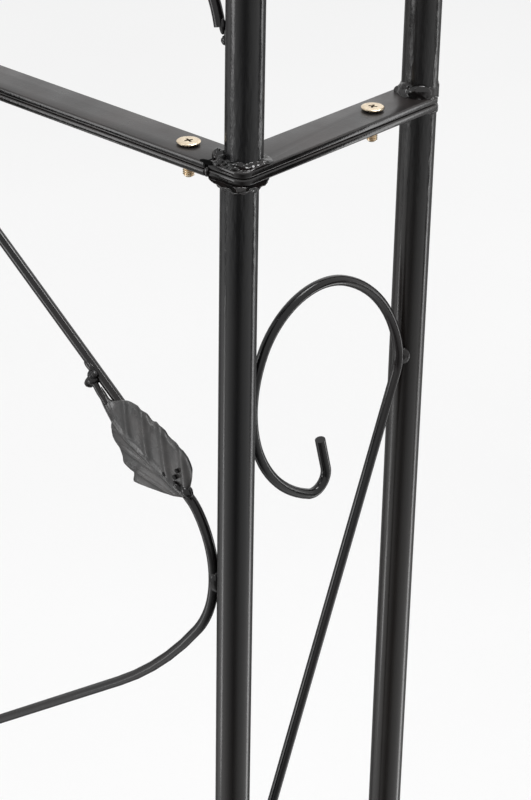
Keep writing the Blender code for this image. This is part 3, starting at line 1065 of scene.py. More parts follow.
OUTER_WELD = WeldForm(
    skirt=(
        (0.0070, -0.0004), (0.0116, -0.0004), (0.0113, 0.0002), (0.0098, 0.0005), (0.0089, 0.0010),
        (0.0084, 0.0019), (0.0070, 0.0025), (0.0070, -0.0004),
    ),
    collar=(
        (0.0068, 0.0004), (0.0120, 0.0004), (0.0115, -0.0006), (0.0101, -0.0015), (0.0092, -0.0027),
        (0.0086, -0.0039), (0.0068, -0.0047), (0.0068, 0.0004),
    ),
    lumps_above=(0.0003, 0.0030),
    lumps_below=(0.0004, 0.0016),
    corner_beads=(
        (-0.0078, -0.0078, -0.0076, 0.0042, 0.0018, 0.0016),
        (0.0056, -0.0082, -0.0076, 0.0032, 0.0016, 0.0016),
        (-0.0072, 0.0034, -0.0074, 0.0024, 0.0016, 0.0016),
        (-0.0066, 0.0066, -0.0062, 0.0020, 0.0016, 0.0016),
        (0.0066, -0.0080, 0.0004, 0.0024, 0.0014, 0.0012),
        (-0.0078, -0.0036, 0.0006, 0.0024, 0.0012, 0.0014),
        (-0.0086, 0.0052, 0.0004, 0.0022, 0.0012, 0.0014),
        (-0.0084, 0.0102, -0.0044, 0.0016, 0.0026, 0.0014),
        (-0.0030, 0.0092, 0.0018, 0.0024, 0.0024, 0.0020),
    ),
    heavy_lean=1.0,
    trimmed=False,
)
INNER_WELD = WeldForm(
    skirt=(
        (0.0070, -0.0004), (0.0110, -0.0004), (0.0107, 0.0004), (0.0099, 0.0011), (0.0092, 0.0023),
        (0.0086, 0.0042), (0.0070, 0.0052), (0.0070, -0.0004),
    ),
    collar=(
        (0.0068, 0.0004), (0.0102, 0.0004), (0.0096, -0.0005), (0.0088, -0.0013), (0.0068, -0.0020),
        (0.0068, 0.0004),
    ),
    lumps_above=(0.0003, 0.0016),
    lumps_below=(0.0004, 0.0008),
    corner_beads=((-0.0066, -0.0056, 0.0024, 0.0052, 0.0034, 0.0020),),
    heavy_lean=1.6,
    trimmed=True,
)


@dataclass
class Welds:
    """Weld round the tubes at the bars and the crown frames, painted over and glossy."""

    steps: int = 64
    grain: float = 0.0004
    beads_round: int = 19
    bead_sway: float = 30.0
    bead_wander: float = 0.0008
    bead_focus: int = 3
    bead_slimness: float = 0.8
    bead_out: tuple[float, float] = (0.45, 0.5)
    bead_up: tuple[float, float] = (0.40, -0.5)
    skirt_wander: float = 0.30
    collar_wander: float = 0.25
    ripple_share: float = 0.6
    rise_share: float = 1.4
    sway: tuple[float, float] = (2.2, 0.0)
    ripple: tuple[float, float] = (5.5, 9.0)
    rise: tuple[float, float] = (3.0, 4.0)
    coarse: tuple[float, float] = (0.00045, 330.0)
    fine: tuple[float, float] = (0.00016, 900.0)
    rounds: int = 2
    crown_rounds: int = 3
    sharp: float = 80.0
    trim_room: float = 0.0006
    trim_growth: float = 0.0060
    trim_from: float = 0.35
    within: float = 0.0001
    crown_reach: float = 0.0098
    crown_lumps: tuple[float, float] = (0.0010, 0.0016)
    # Place and half sizes of the dark bead that is painted shade in the hollow at the outer corner.
    pit: tuple[float, ...] = (-0.0090, 0.0096, -0.0002, 0.0014, 0.0038, 0.0009)

    def skirt(self, shape: BMesh, outline: Pairs, place: Vector, wander: float, seed: float) -> None:
        """Adds a ring of weld that flares from a tube onto a bar, uneven all round.

        Args:
            shape: The mesh to add to.
            outline: Its mean section.
            place: Where the tube's axis meets the bar.
            wander: Share by which its reach and height vary.
            seed: Picks how they vary.
        """
        radius = ARCH.tube_radius
        for vert in turn_about(shape, outline, Matrix.Translation(place), self.steps):
            away = vert.co - place
            about = away.xy.normalized()

            def wave(turns: float, shift: float) -> float:
                """Noise that runs round the tube."""
                return noise.noise(Vector((turns * about.x, turns * about.y, seed + shift)))

            reach = away.xy.length
            if reach > radius:
                share = 1.0 + wander * (wave(*self.sway) + self.ripple_share * wave(*self.ripple))
                reach = radius + (reach - radius) * share
            away.xy = reach * about
            away.z *= 1.0 + self.rise_share * wander * wave(*self.rise)
            vert.co = place + away

    def lumps(
        self, shape: BMesh, place: Matrix, heavy: float, radii: tuple[float, float], seed: float
    ) -> None:
        """Adds a ring of beads round a tube, larger towards one side.

        Args:
            shape: The mesh to add to.
            place: Where the tube's axis meets the bar, with +Z along the tube.
            heavy: The direction of the largest beads, in degrees about that axis.
            radii: Of the smallest and the largest bead.
            seed: Picks their places.
        """
        for index in range(self.beads_round):
            wander = noise.noise(Vector((seed, 3.7 * index, 1.3)))
            angle = math.radians(360.0 / self.beads_round * index + self.bead_sway * wander)
            share = max(0.0, math.cos(angle - math.radians(heavy))) ** self.bead_focus
            size = radii[0] + (radii[1] - radii[0]) * share + self.bead_wander * wander
            reach = ARCH.tube_radius + (self.bead_out[0] + self.bead_out[1] * wander) * size
            height = (self.bead_up[0] + self.bead_up[1] * wander) * size
            centre = place @ Vector((reach * math.cos(angle), reach * math.sin(angle), height))
            bead(shape, centre, (size, self.bead_slimness * size, size), seed + index)

    def joint(self, side: Side, face: Face, across: float, inset: float, form: WeldForm) -> BMesh:
        """The weld of one post and hoop tube at the bolted joint.

        Args:
            side: The leg.
            face: The narrow face.
            across: Where the post stands.
            inset: How far in the hoop tube stands from it.
            form: The weld's form.

        Returns:
            The weld's surface.
        """
        seed = 1.0 + across * 31.0 + 4.0 * side.value + 2.0 * face.value
        top = ARCH.on_leg(side, face, across + inset, 0.0, 0.0)
        low = ARCH.on_leg(side, face, across, 0.0, ARCH.post_top - ARCH.joint_z)
        heavy = Vector((side.value, -form.heavy_lean * face.value))
        towards = math.degrees(math.atan2(heavy.y, heavy.x))
        shape = bmesh.new()
        self.skirt(shape, form.skirt, top, self.skirt_wander, seed)
        self.lumps(shape, Matrix.Translation(top), towards, form.lumps_above, seed)
        self.skirt(shape, form.collar, low, self.collar_wander, seed + 2.0)
        hanging = Matrix.Translation(low) @ Matrix.Rotation(math.pi, 4, "X")
        self.lumps(shape, hanging, -towards + 180.0, form.lumps_below, seed + 3.0)
        for step, (over, inward, height, *size) in enumerate(form.corner_beads):
            seat = ARCH.on_leg(side, face, across + over, inward, height)
            away = Vector((-side.value * over, -face.value * inward, 0.0)).normalized()
            bead(shape, seat, size, seed + 5.0 + step, away)
        surface = fused(shape, self.grain, self.rounds)
        roughen(surface.verts, (top + low) / 2, *self.coarse, seed)
        roughen(surface.verts, (top + low) / 2, *self.fine, seed + 1.0)
        if form.trimmed:
            self.trim(surface.verts, top, side)
        self.keep_inside(surface.verts)
        return surface

    def trim(self, verts: Verts, axis: Vector, side: Side) -> None:
        """Draws weld in to the tube on the passage's side, where no bar lies under it.

        Args:
            verts: The weld's vertices.
            axis: A point of the tube's axis.
            side: The leg.
        """
        for vert in verts:
            away = (vert.co - axis).xy
            inwards = -side.value * away.x / away.length
            reach = ARCH.tube_radius + self.trim_room + self.trim_growth * max(0.0, self.trim_from - inwards)
            if away.length > reach:
                vert.co.xy = axis.xy + away.normalized() * reach

    def keep_inside(self, verts: Verts) -> None:
        """Keeps weld within the reach of the bars' edges and the crown's top.

        Args:
            verts: The weld's vertices.
        """
        edge_x = ARCH.outer_x + ARCH.bar_width / 2 - self.within
        edge_y = ARCH.half_depth + ARCH.bar_width / 2 - self.within
        for vert in verts:
            vert.co.x = max(-edge_x, min(edge_x, vert.co.x))
            vert.co.y = max(-edge_y, min(edge_y, vert.co.y))
            vert.co.z = min(vert.co.z, ARCH.height - self.within)

    def build(self, side: Side) -> None:
        """Makes the weld of one leg's joint.

        Args:
            side: The leg.
        """
        for (place, across, inset, _), form in zip(ARCH.posts(), (OUTER_WELD, INNER_WELD)):
            for face in Face:
                surface = self.joint(side, face, across, inset, form)
                name = f"{side.word}_{place}_{face.word}_joint_weld"
                add_piece(name, surface, WELD_PAINT, sharp=self.sharp)
                if form is OUTER_WELD:
                    # The outer corner also gets the dark bead of painted shade.
                    self.build_pit(side, face)

    def build_pit(self, side: Side, face: Face) -> None:
        """Makes a dull, near black bead, painted shade, in the hollow where a side bar's end meets the front
        or rear bar.

        Args:
            side: The leg.
            face: The narrow face.
        """
        over, inward, height, *size = self.pit
        shape = bmesh.new()
        bead(shape, ARCH.on_leg(side, face, over, inward, height), size, 3.0 + side.value)
        self.keep_inside(shape.verts)
        add_piece(f"{side.word}_{face.word}_corner_weld", shape, PIT_PAINTED_SHADE, sharp=self.sharp)

    def build_crown(self) -> None:
        """Makes the weld where the hoop tubes meet the crown frames."""
        for side in Side:
            turn = turned_to(Vector((side.value, 0.0, 0.0)))
            skirt = [(min(radius, self.crown_reach), height) for radius, height in OUTER_WELD.skirt]
            shape = bmesh.new()
            for face in Face:
                for radius in (ARCH.outer_radius, ARCH.inner_radius):
                    x = side.value * (ARCH.bar_thickness + ARCH.gap / 2)
                    seat = Vector((x, face.value * ARCH.half_depth, ARCH.spring_z + radius))
                    place = Matrix.Translation(seat) @ turn
                    turn_about(shape, skirt, place, self.steps)
                    self.lumps(shape, place, 90.0, self.crown_lumps, radius * 10.0 + face.value)
            surface = fused(shape, self.grain, self.crown_rounds)
            self.keep_inside(surface.verts)
            add_piece(f"{side.word}_crown_weld", surface, WELD_PAINT, sharp=self.sharp)


@dataclass
class Scrolls:
    """The S-scrolls of the narrow faces, and the rungs below them."""

    sides: int = 16
    stem: float = 0.2644
    lean: float = 69.9
    radii: tuple[float, ...] = (0.0230, 0.0637, 0.0386, 0.0596, 0.0080)
    turns: tuple[float, ...] = (32.3, 54.3, 87.6, 93.0, 127.6)
    plain_steps: tuple[int, ...] = (1, 2, 3, 2, 3)
    tip: float = 0.0165
    lower_curl: float = 0.58
    nest: float = 0.0022
    from_joint: float = 0.0710
    askew: tuple[float, float] = (0.0010, -0.0040)
    stagger: float = 0.0007
    rung_clearance: float = 0.190
    weld_lap: float = 0.0015
    stem_steps: int = 6
    post_weld: tuple[float, float, float] = (0.0030, 0.0042, 0.0022)
    post_weld_at: tuple[float, float, float] = (0.0030, -0.0010, 0.0008)
    scroll_weld: tuple[float, float, float] = (0.0070, 0.0034, 0.0028)
    rung_weld: tuple[float, float, float] = (0.0032, 0.0030, 0.0036)

    def curl(self, size: float, steps: Optional[Sequence[int]] = None) -> list[Vector]:
        """One curl of a scroll, about the end of the stem, from there to its tip.

        Args:
            size: Of the curl, against the upper one.
            steps: How many chords each arc takes. Without them the arcs are smooth.

        Returns:
            Its points, as (across, height).
        """
        radii = [size * radius for radius in self.radii]
        points, heading = arcs(Vector((0.0, 0.0)), self.lean, radii, self.turns, steps)
        angle = math.radians(heading)
        tip = Vector((math.cos(angle), math.sin(angle)))
        return points + [points[-1] + size * self.tip * share * tip for share in (0.5, 1.0)]

    def outline(self, steps: Optional[Sequence[int]] = None) -> list[Vector]:
        """Centre line of one scroll about the middle of its stem.

        Args:
            steps: How many chords each arc takes. Without them the arcs are smooth.

        Returns:
            Its points as (across, height), from its lower tip to its upper one.
        """
        lean = math.radians(self.lean)
        stem_end = self.stem / 2 * Vector((math.cos(lean), math.sin(lean)))
        lower = [-stem_end - point for point in self.curl(self.lower_curl, steps)]
        stem = [stem_end * (step / self.stem_steps) for step in range(1 - self.stem_steps, self.stem_steps)]
        return lower[::-1] + stem + [stem_end + point for point in self.curl(1.0, steps)]

    def span(self, axis: int, steps: Optional[Sequence[int]] = None) -> tuple[float, float]:
        """From the lowest to the highest value of a scroll's centre line along one axis."""
        values = [point[axis] for point in self.outline(steps)]
        return min(values), max(values)

    def pitch(self) -> float:
        """From one scroll to the next."""
        low, high = self.span(1, self.plain_steps)
        return high - low - self.nest

    def count(self, run: float) -> int:
        """How many scrolls fit in a run."""
        return max(1, int((run - self.nest) / self.pitch()))

    def lower_count(self) -> int:
        """How many scrolls a straight face holds."""
        return self.count(ARCH.joint_z - self.from_joint - self.rung_clearance)

    def rung_height(self) -> float:
        """The rungs' centre line, against the joint."""
        scrolls = self.lower_count() * self.pitch() + self.nest
        return -self.from_joint - scrolls - 2 * ARCH.wire_radius + self.weld_lap

    def depth(self, across: float) -> float:
        """How far in from the posts' axes a scroll lies."""
        share = (across - ARCH.tube_radius) / (ARCH.leg_width - 2 * ARCH.tube_radius)
        return self.askew[0] + share * (self.askew[1] - self.askew[0])

    def middles(self, level: Level) -> list[float]:
        """Heights of the scrolls' middles.

        Args:
            level: Under or above the joint.

        Returns:
            The heights, against the joint.
        """
        low, high = self.span(1, self.plain_steps)
        if level is Level.LOWER:
            return [-self.from_joint - high - index * self.pitch() for index in range(self.lower_count())]
        run = ARCH.straight_run + math.radians(90.0) * (ARCH.outer_radius + ARCH.inner_radius) / 2
        count = self.count(run - 2 * self.from_joint)
        first = (run - count * self.pitch() - self.nest) / 2 - low
        return [first + index * self.pitch() for index in range(count)]

    def build(self, side: Side, face: Face, level: Level) -> None:
        """Makes the scrolls of one face, under the joint or along the hoops.

        Args:
            side: The leg.
            face: The narrow face.
            level: Under or above the joint.
        """
        inset = ARCH.hoop_inset if level is Level.UPPER else 0.0
        near, far = self.span(0)
        room = ARCH.leg_width - inset - 2 * (ARCH.tube_radius + ARCH.wire_radius + ARCH.gap)
        middle = (ARCH.leg_width + inset) / 2
        outline = self.outline()
        outwards = Vector((0.0, face.value, 0.0))
        shape = bmesh.new()
        for index, height in enumerate(self.middles(level)):

            def place(x: float, y: float) -> Vector:
                """Puts a point of this scroll in the row frame.

                Args:
                    x: From the middle of its stem, across.
                    y: From the middle of its stem, upwards.

                Returns:
                    The point.
                """
                across = middle + room / (far - near) * (x - (near + far) / 2)
                inward = self.depth(across) + index % 2 * self.stagger
                return ARCH.on_hoop(side, face, across, inward, height + y, middle)

            sweep(shape, [place(*point) for point in outline], ARCH.wire_radius, self.sides)
            by_width = sorted(outline, key=lambda point: point.x)
            over, up, out = self.post_weld_at
            for widest, step in ((by_width[-1], 1.0), (by_width[0], -1.0)):
                seat = place(widest.x + step * over, widest.y + step * up)
                bead(shape, seat + out * outwards, self.post_weld, index + 3.3 * step, outwards)
            if index:
                seat = place(0.0, self.span(1)[1 if level is Level.LOWER else 0])
                bead(shape, seat, self.scroll_weld, index + 8.0, outwards)
        if level is Level.LOWER:
            self.add_rung(shape, side, face)
        node = f"{side.word}_{face.word}_{level.word}_scrolls"
        add_piece(node + "_wire", shape, WIRE_PAINT, [node])

    def add_rung(self, shape: BMesh, side: Side, face: Face) -> None:
        """Adds the rung below the last scroll of a narrow face.

        Args:
            shape: The mesh to add to.
            side: The leg.
            face: The narrow face.
        """
        ends = [
            ARCH.on_leg(side, face, across, self.depth(across), self.rung_height())
            for across in (ARCH.tube_radius, ARCH.leg_width - ARCH.tube_radius)
        ]
        sweep(shape, ends, ARCH.wire_radius, self.sides)
        for index, end in enumerate(ends):
            bead(shape, end, self.rung_weld, 7.0 + index)


@dataclass
class Leaf:
    """A pressed steel leaf with a bowed rib, flutes and a toothed edge, drawn out into a stalk at its tip."""

    length: float = 0.0633
    width: float = 0.0345
    thickness: float = 0.0009
    stand_off: float = 0.0050
    camber: float = 0.0012
    rib_height: float = 0.0006
    rib_breadth: float = 0.0009
    lip: float = 0.0006
    lip_breadth: float = 0.07
    rib_room: float = 0.0030
    tip_fade: float = 0.20
    base_fade: float = 0.10
    flute_power: int = 3
    flute_mean: float = 0.3
    camber_along: float = 0.5
    rib_fade: float = 0.1
    grid: tuple[int, int] = (84, 40)
    upper_flutes: tuple[float, ...] = (0.0112, 0.0139, 0.84, 0.00075)
    lower_flutes: tuple[float, ...] = (0.0110, 0.0220, 3.00, 0.00060)
    turn: float = -8.0
    set_off: tuple[float, float] = (0.0013, 0.0023)
    rib_line: Pairs = (
        (0.0, 0.017), (0.12, -0.023), (0.25, -0.023), (0.43, -0.052), (0.61, -0.092), (0.78, -0.055),
        (0.90, 0.030), (1.0, 0.10),
    )
    upper_edge: Pairs = (
        (0.0, 0.10), (0.03, 0.30), (0.063, 0.44), (0.095, 0.49), (0.13, 0.528), (0.19, 0.566), (0.25, 0.562),
        (0.316, 0.536), (0.348, 0.534), (0.379, 0.560), (0.42, 0.567), (0.474, 0.548), (0.506, 0.496),
        (0.537, 0.500), (0.569, 0.512), (0.60, 0.500), (0.664, 0.475), (0.727, 0.420), (0.758, 0.39),
        (0.79, 0.34), (0.82, 0.26), (0.864, 0.155), (0.90, 0.142), (0.95, 0.146), (1.0, 0.150),
    )
    lower_edge: Pairs = (
        (0.0, 0.035), (0.032, 0.084), (0.063, 0.136), (0.095, 0.183), (0.158, 0.278), (0.221, 0.354),
        (0.284, 0.432), (0.348, 0.501), (0.395, 0.545), (0.411, 0.551), (0.422, 0.52), (0.432, 0.455),
        (0.442, 0.441), (0.474, 0.461), (0.52, 0.468), (0.537, 0.464), (0.569, 0.417), (0.632, 0.340),
        (0.664, 0.310), (0.70, 0.300), (0.727, 0.290), (0.758, 0.240), (0.775, 0.15), (0.79, 0.075),
        (0.821, 0.100), (0.853, 0.072), (0.885, 0.032), (0.916, -0.005), (0.95, -0.035), (1.0, -0.055),
    )

    def at(self, share: float, line: Pairs) -> float:
        """How far a line lies from the leaf's own axis.

        Args:
            share: The place along the leaf, as a share of its length.
            line: The line, as (share of the length, share of the width).

        Returns:
            The distance.
        """
        for (start, first), (end, second) in zip(line, line[1:]):
            if start <= share <= end:
                return self.width * (first + (second - first) * (share - start) / (end - start))
        return self.width * line[-1][1]

    def height(self, along: float, across: float, reach: float) -> float:
        """How far the pressed sheet stands out at a place.

        Args:
            along: From the base.
            across: From the leaf's own axis.
            reach: From the rib, as a share of the way to the edge, below 0 towards the lower one.

        Returns:
            The distance.
        """
        share = along / self.length
        from_rib = across - self.at(share, self.rib_line)
        start, pitch, lean, depth = self.upper_flutes if from_rib > 0.0 else self.lower_flutes
        crest = 0.5 + 0.5 * math.cos(2 * math.pi * (along - lean * abs(across) - start) / pitch)
        off_rib = min(1.0, abs(from_rib) / self.rib_room)
        fade = min(1.0, max(0.0, (1.0 - share) / self.tip_fade), share / self.base_fade)
        bowl = self.camber * (reach**2 + self.camber_along * (2 * share - 1) ** 2)
        ridge = self.rib_height * math.exp(-((from_rib / self.rib_breadth) ** 2))
        ridge *= min(1.0, (1.0 - share) / self.rib_fade)
        lip = self.lip * math.exp(-(((1.0 - reach) / self.lip_breadth) ** 2)) * fade
        flutes = depth * (crest**self.flute_power - self.flute_mean) * off_rib * fade
        return self.stand_off - bowl + ridge + lip + flutes

    def add(self, shape: BMesh, place: Matrix, upwards: float) -> None:
        """Adds one leaf.

        Args:
            shape: The mesh to add to.
            place: Its base, with +X along its rib and +Z out of the panel.
            upwards: 1 where its upper edge lies towards +Y of that place, and -1 towards -Y.
        """
        sheet = bmesh.new()
        bmesh.ops.create_grid(sheet, x_segments=self.grid[0], y_segments=self.grid[1], size=1.0)
        half = max(vert.co.x for vert in sheet.verts)
        for vert in sheet.verts:
            share = (vert.co.x / half + 1.0) / 2.0
            reach = vert.co.y / half
            along = self.length * share
            rib = self.at(share, self.rib_line)
            edge = self.at(share, self.upper_edge) if reach > 0.0 else -self.at(share, self.lower_edge)
            across = rib + abs(reach) * (edge - rib)
            vert.co = (along, upwards * across, self.height(along, across, reach))
        if upwards < 0.0:
            bmesh.ops.reverse_faces(sheet, faces=sheet.faces)
        walls = bmesh.ops.extrude_face_region(sheet, geom=sheet.faces[:], use_keep_orig=True)
        back = [thing for thing in walls["geom"] if isinstance(thing, bmesh.types.BMVert)]
        bmesh.ops.translate(sheet, vec=(0.0, 0.0, -self.thickness), verts=back)
        bmesh.ops.recalc_face_normals(sheet, faces=sheet.faces)
        bmesh.ops.transform(sheet, matrix=place, verts=sheet.verts)
        merge_into(shape, sheet)


@dataclass
class Vines:
    """The crossing vines of the wide sides, with their leaves."""

    scrolls: Scrolls
    leaf: Leaf
    sides: int = 16
    up_radii: tuple[float, float] = (0.0530, 0.0225)
    down_radii: tuple[float, float] = (0.0530, 0.2377)
    turns: tuple[float, float] = (35.3, 18.0)
    first_touch: float = 0.2014
    start_touch: float = 0.0438
    start_angle: float = 11.4
    cut_room: float = 0.001
    hoop_step: float = 0.015
    weld: tuple[float, float, float] = (0.0028, 0.0032, 0.0050)
    weld_sink: float = 0.002
    weld_out: float = 0.001
    rung_weld: float = 0.0036
    stalk_radius: float = 0.0015
    stalk_sides: int = 12
    feel_out: float = 0.003
    feel_beside: float = 0.01
    stalk: Rows = (
        (0.0560, 0.0024, 0.0040), (0.0620, 0.0034, 0.0038), (0.0685, 0.0050, 0.0032),
    )
    cut_beads: Rows = (
        (-0.0006, -0.0003, 0.0013, 0.0014, 0.0034),
        (-0.0024, 0.0028, 0.0008, 0.0008, 0.0030),
        (-0.0027, 0.0048, 0.0021, 0.0021, 0.0021),
    )
    leaf_beads: Rows = (
        (0.0682, 0.0046, 0.0032, 0.0026, 0.0026, 0.0028),
        (0.0695, 0.0020, 0.0034, 0.0022, 0.0020, 0.0022),
        (0.0698, 0.0066, 0.0032, 0.0020, 0.0021, 0.0024),
        (0.0735, 0.0078, 0.0016, 0.0018, 0.0016, 0.0040),
        (0.0690, 0.0086, 0.0036, 0.0016, 0.0012, 0.0018),
        (0.0014, 0.0030, 0.0030, 0.0026, 0.0022, 0.0042),
        (0.0050, 0.0022, 0.0042, 0.0021, 0.0014, 0.0034),
        (0.0085, 0.0052, 0.0050, 0.0012, 0.0008, 0.0013),
        (0.0138, 0.0010, 0.0048, 0.0011, 0.0007, 0.0012),
        (0.0092, 0.0088, 0.0048, 0.0012, 0.0007, 0.0012),
    )

    @property
    def offset(self) -> float:
        """From the outer posts' axes to a vine's centre line, across."""
        return ARCH.wire_radius + ARCH.gap / 2

    @property
    def touch(self) -> float:
        """How far in from a post's axis a vine passes it."""
        clear = ARCH.tube_radius + ARCH.wire_radius + ARCH.gap
        return math.sqrt(clear**2 - self.offset**2)

    @property
    def slope(self) -> float:
        """Rise over run of the straight arms."""
        return math.tan(math.radians(90.0 - sum(self.turns)))

    @property
    def pitch(self) -> float:
        """From where a vine touches one post to where it touches the opposite one.

        Returns:
            The rise.
        """
        bend = self.bend(0.0)
        run = ARCH.depth - bend[0].x - bend[-1].x
        return bend[0].y - bend[-1].y + run * self.slope

    def bend(self, height: float) -> list[Vector]:
        """The bend at a post, from its upper arm to its lower arm.

        Args:
            height: Where it touches the post.

        Returns:
            Its points as (inward, height).
        """
        touch = Vector((self.touch, height))
        upper, _ = arcs(touch, 90.0, self.up_radii, [-turn for turn in self.turns])
        lower, _ = arcs(touch, -90.0, self.down_radii, self.turns)
        return upper[::-1] + lower[1:]

    def cut_bend(self, height: float) -> list[Vector]:
        """A bend whose wire is cut just above where it would touch the post.

        Args:
            height: Where it would touch.

        Returns:
            Its points as (inward, height).
        """
        radius, cut = self.up_radii[0], math.radians(self.start_angle)
        start = Vector((self.touch + radius * (1 - math.cos(cut)), height + radius * math.sin(cut)))
        return [point for point in self.bend(height) if point.y > start.y + self.cut_room] + [start]

    def opposite(self, point: Vector, crossed: bool = True) -> Vector:
        """A point as it is, or where it crosses, measured from the opposite post."""
        return Vector((ARCH.depth - point.x, point.y)) if crossed else point

    def touches(self, first: float, top: float, bottom: float) -> list[tuple[float, bool]]:
        """Every bend from above the top to below the bottom.

        Args:
            first: Height of one bend at the near post.
            top: Where the vine begins.
            bottom: Where it ends.

        Returns:
            The bends as (height, whether at the opposite post), the highest first.
        """
        above = math.ceil((top - first) / self.pitch)
        below = math.ceil((first - bottom) / self.pitch)
        return [(first + step * self.pitch, step % 2 == 1) for step in range(above, -below - 1, -1)]

    def point_at(self, path: Sequence[Vector], height: float) -> Vector:
        """Where a falling path passes a height.

        Args:
            path: The path.
            height: The height.

        Returns:
            The point.
        """
        for first, second in zip(path, path[1:]):
            if second.y <= height <= first.y:
                return first.lerp(second, (first.y - height) / (first.y - second.y))
        return path[-1]

    def path(
        self, touches: Sequence[tuple[float, bool]], top: float, bottom: Optional[float]
    ) -> list[Vector]:
        """A vine from top to bottom.

        Args:
            touches: Its bends.
            top: Where it begins.
            bottom: Where it ends. Without it the wire is cut at the last bend.

        Returns:
            Its points as (inward, height).
        """
        path: list[Vector] = []
        for index, (height, crossed) in enumerate(touches):
            cut = bottom is None and index == len(touches) - 1
            bend = self.cut_bend(height) if cut else self.bend(height)
            path += [self.opposite(point, crossed) for point in bend]
        end = path[-1] if bottom is None else self.point_at(path, bottom)
        inside = [point for point in path if end.y < point.y < top]
        falling = [self.point_at(path, top), *inside, end]
        fine = [falling[0]]
        for first, second in zip(falling, falling[1:]):
            parts = max(1, math.ceil((second - first).length / self.hoop_step))
            fine += [first.lerp(second, part / parts) for part in range(1, parts + 1)]
        return fine

    def build(self, side: Side, face: Face, level: Level) -> None:
        """Makes one vine with its leaves.

        Args:
            side: The leg.
            face: The face of the post that the vine first touches.
            level: Under or above the joint.
        """
        offset = face.value * self.offset
        inset = ARCH.hoop_inset if level is Level.UPPER else 0.0
        end_room = ARCH.wire_radius * math.cos(math.atan(self.slope))
        if level is Level.LOWER:
            top = ARCH.post_top - ARCH.joint_z - end_room
            bottom = self.scrolls.rung_height() + ARCH.wire_radius + end_room
            touches = self.touches(-self.first_touch, top, bottom)
        else:
            top = ARCH.straight_run + math.radians(90.0) * ARCH.outer_radius - ARCH.wire_radius
            bottom = None
            touches = self.touches(self.start_touch, top, self.start_touch)

        def place(point: Vector, outwards: float = 0.0) -> Vector:
            """A point beside the vine in the row frame."""
            across = inset + offset - outwards
            return ARCH.on_hoop(side, face, across, point.x, point.y, inset)

        shape = bmesh.new()
        path = self.path(touches, top, bottom)
        sweep(shape, [place(point) for point in path], ARCH.wire_radius, self.sides)
        leaves = bmesh.new()
        room = self.bend(0.0)[0].y + self.leaf.length
        for index, (height, crossed) in enumerate(touches):
            if not path[-1].y < height < path[0].y:
                continue
            touch = self.opposite(Vector((self.touch - self.weld_sink, height)), crossed)
            bead(shape, place(touch, self.weld_out), self.weld, 11.0 + index)
            if height + room < top and height > touches[-1][0]:
                self.add_leaf(shape, leaves, place, height, crossed, index)
        if bottom is None:
            self.add_cut_end(shape, place, path[-1].y, touches[-1][1])
        node = f"{side.word}_{face.word}_{level.word}_vine"
        add_piece(node + "_wire", shape, WIRE_PAINT, [node])
        add_piece(f"{side.word}_{face.word}_{level.word}_leaves", leaves, LEAF_PAINT, sharp=50.0)

    def add_cut_end(
        self, shape: BMesh, place: Callable[..., Vector], height: float, crossed: bool
    ) -> None:
        """Adds the weld that joins a cut wire's end to the post and runs down from it.

        Args:
            shape: The vine's mesh.
            place: Puts a point of the panel in the row frame.
            height: Of the wire's end.
            crossed: Whether the end is at the opposite post.
        """
        for step, (inward, drop, *size) in enumerate(self.cut_beads):
            point = Vector((self.touch + inward, height - drop))
            bead(shape, place(self.opposite(point, crossed)), size, 91.0 + step)

    def add_leaf(
        self, shape: BMesh, leaves: BMesh, place: Callable[..., Vector], height: float, crossed: bool,
        index: int,
    ) -> None:
        """Adds the leaf on the arm above a bend, with its beads and the wire at its tip.

        Args:
            shape: The vine's mesh, which takes the beads.
            leaves: The mesh of the leaves.
            place: Puts a point of the panel in the row frame.
            height: Of the bend.
            crossed: Whether the bend is at the opposite post.
            index: Picks the beads' pattern.
        """
        arm = self.bend(height)[0]
        along = Vector((1.0, self.slope)).normalized()
        above = Vector((-along.y, along.x))
        spin = math.radians(self.leaf.turn)
        rib = math.cos(spin) * along + math.sin(spin) * above
        beside = -math.sin(spin) * along + math.cos(spin) * above
        base = arm + self.leaf.set_off[0] * along + self.leaf.set_off[1] * above

        def spot(from_base: float, across: float, out: float = 0.0) -> Vector:
            """A point of the leaf in the row frame."""
            point = base + from_base * rib + across * beside
            return place(self.opposite(point, crossed), out)

        half = self.leaf.length / 2
        root, middle = spot(0.0, 0.0), spot(half, 0.0)
        outwards = (spot(half, 0.0, self.feel_out) - middle).normalized()
        line = spot(self.leaf.length, 0.0) - root
        line = (line - line.dot(outwards) * outwards).normalized()
        sideways = outwards.cross(line)
        upwards = math.copysign(1.0, sideways.dot(spot(half, self.feel_beside) - middle))
        turned = Matrix((line, sideways, outwards)).transposed().to_4x4()
        self.leaf.add(leaves, Matrix.Translation(root) @ turned, upwards)
        sweep(shape, [spot(*point) for point in self.stalk], self.stalk_radius, self.stalk_sides)
        for step, (from_base, across, out, *size) in enumerate(self.leaf_beads):
            bead(shape, spot(from_base, across, out), size, 21.0 + index + 7.0 * step, line)

    def build_rung(self, side: Side) -> None:
        """Makes the lowest rung of one wide side.

        Args:
            side: The leg.
        """
        seat, height = ARCH.tube_radius - ARCH.gap, self.scrolls.rung_height()
        ends = [ARCH.on_leg(side, face, 0.0, seat, height) for face in Face]
        shape = bmesh.new()
        sweep(shape, ends, ARCH.wire_radius, self.sides)
        for index, end in enumerate(ends):
            bead(shape, end, (self.rung_weld,) * 3, 51.0 + index)
        add_piece(f"{side.word}_side_rung_wire", shape, WIRE_PAINT, [f"{side.word}_side_rung"])


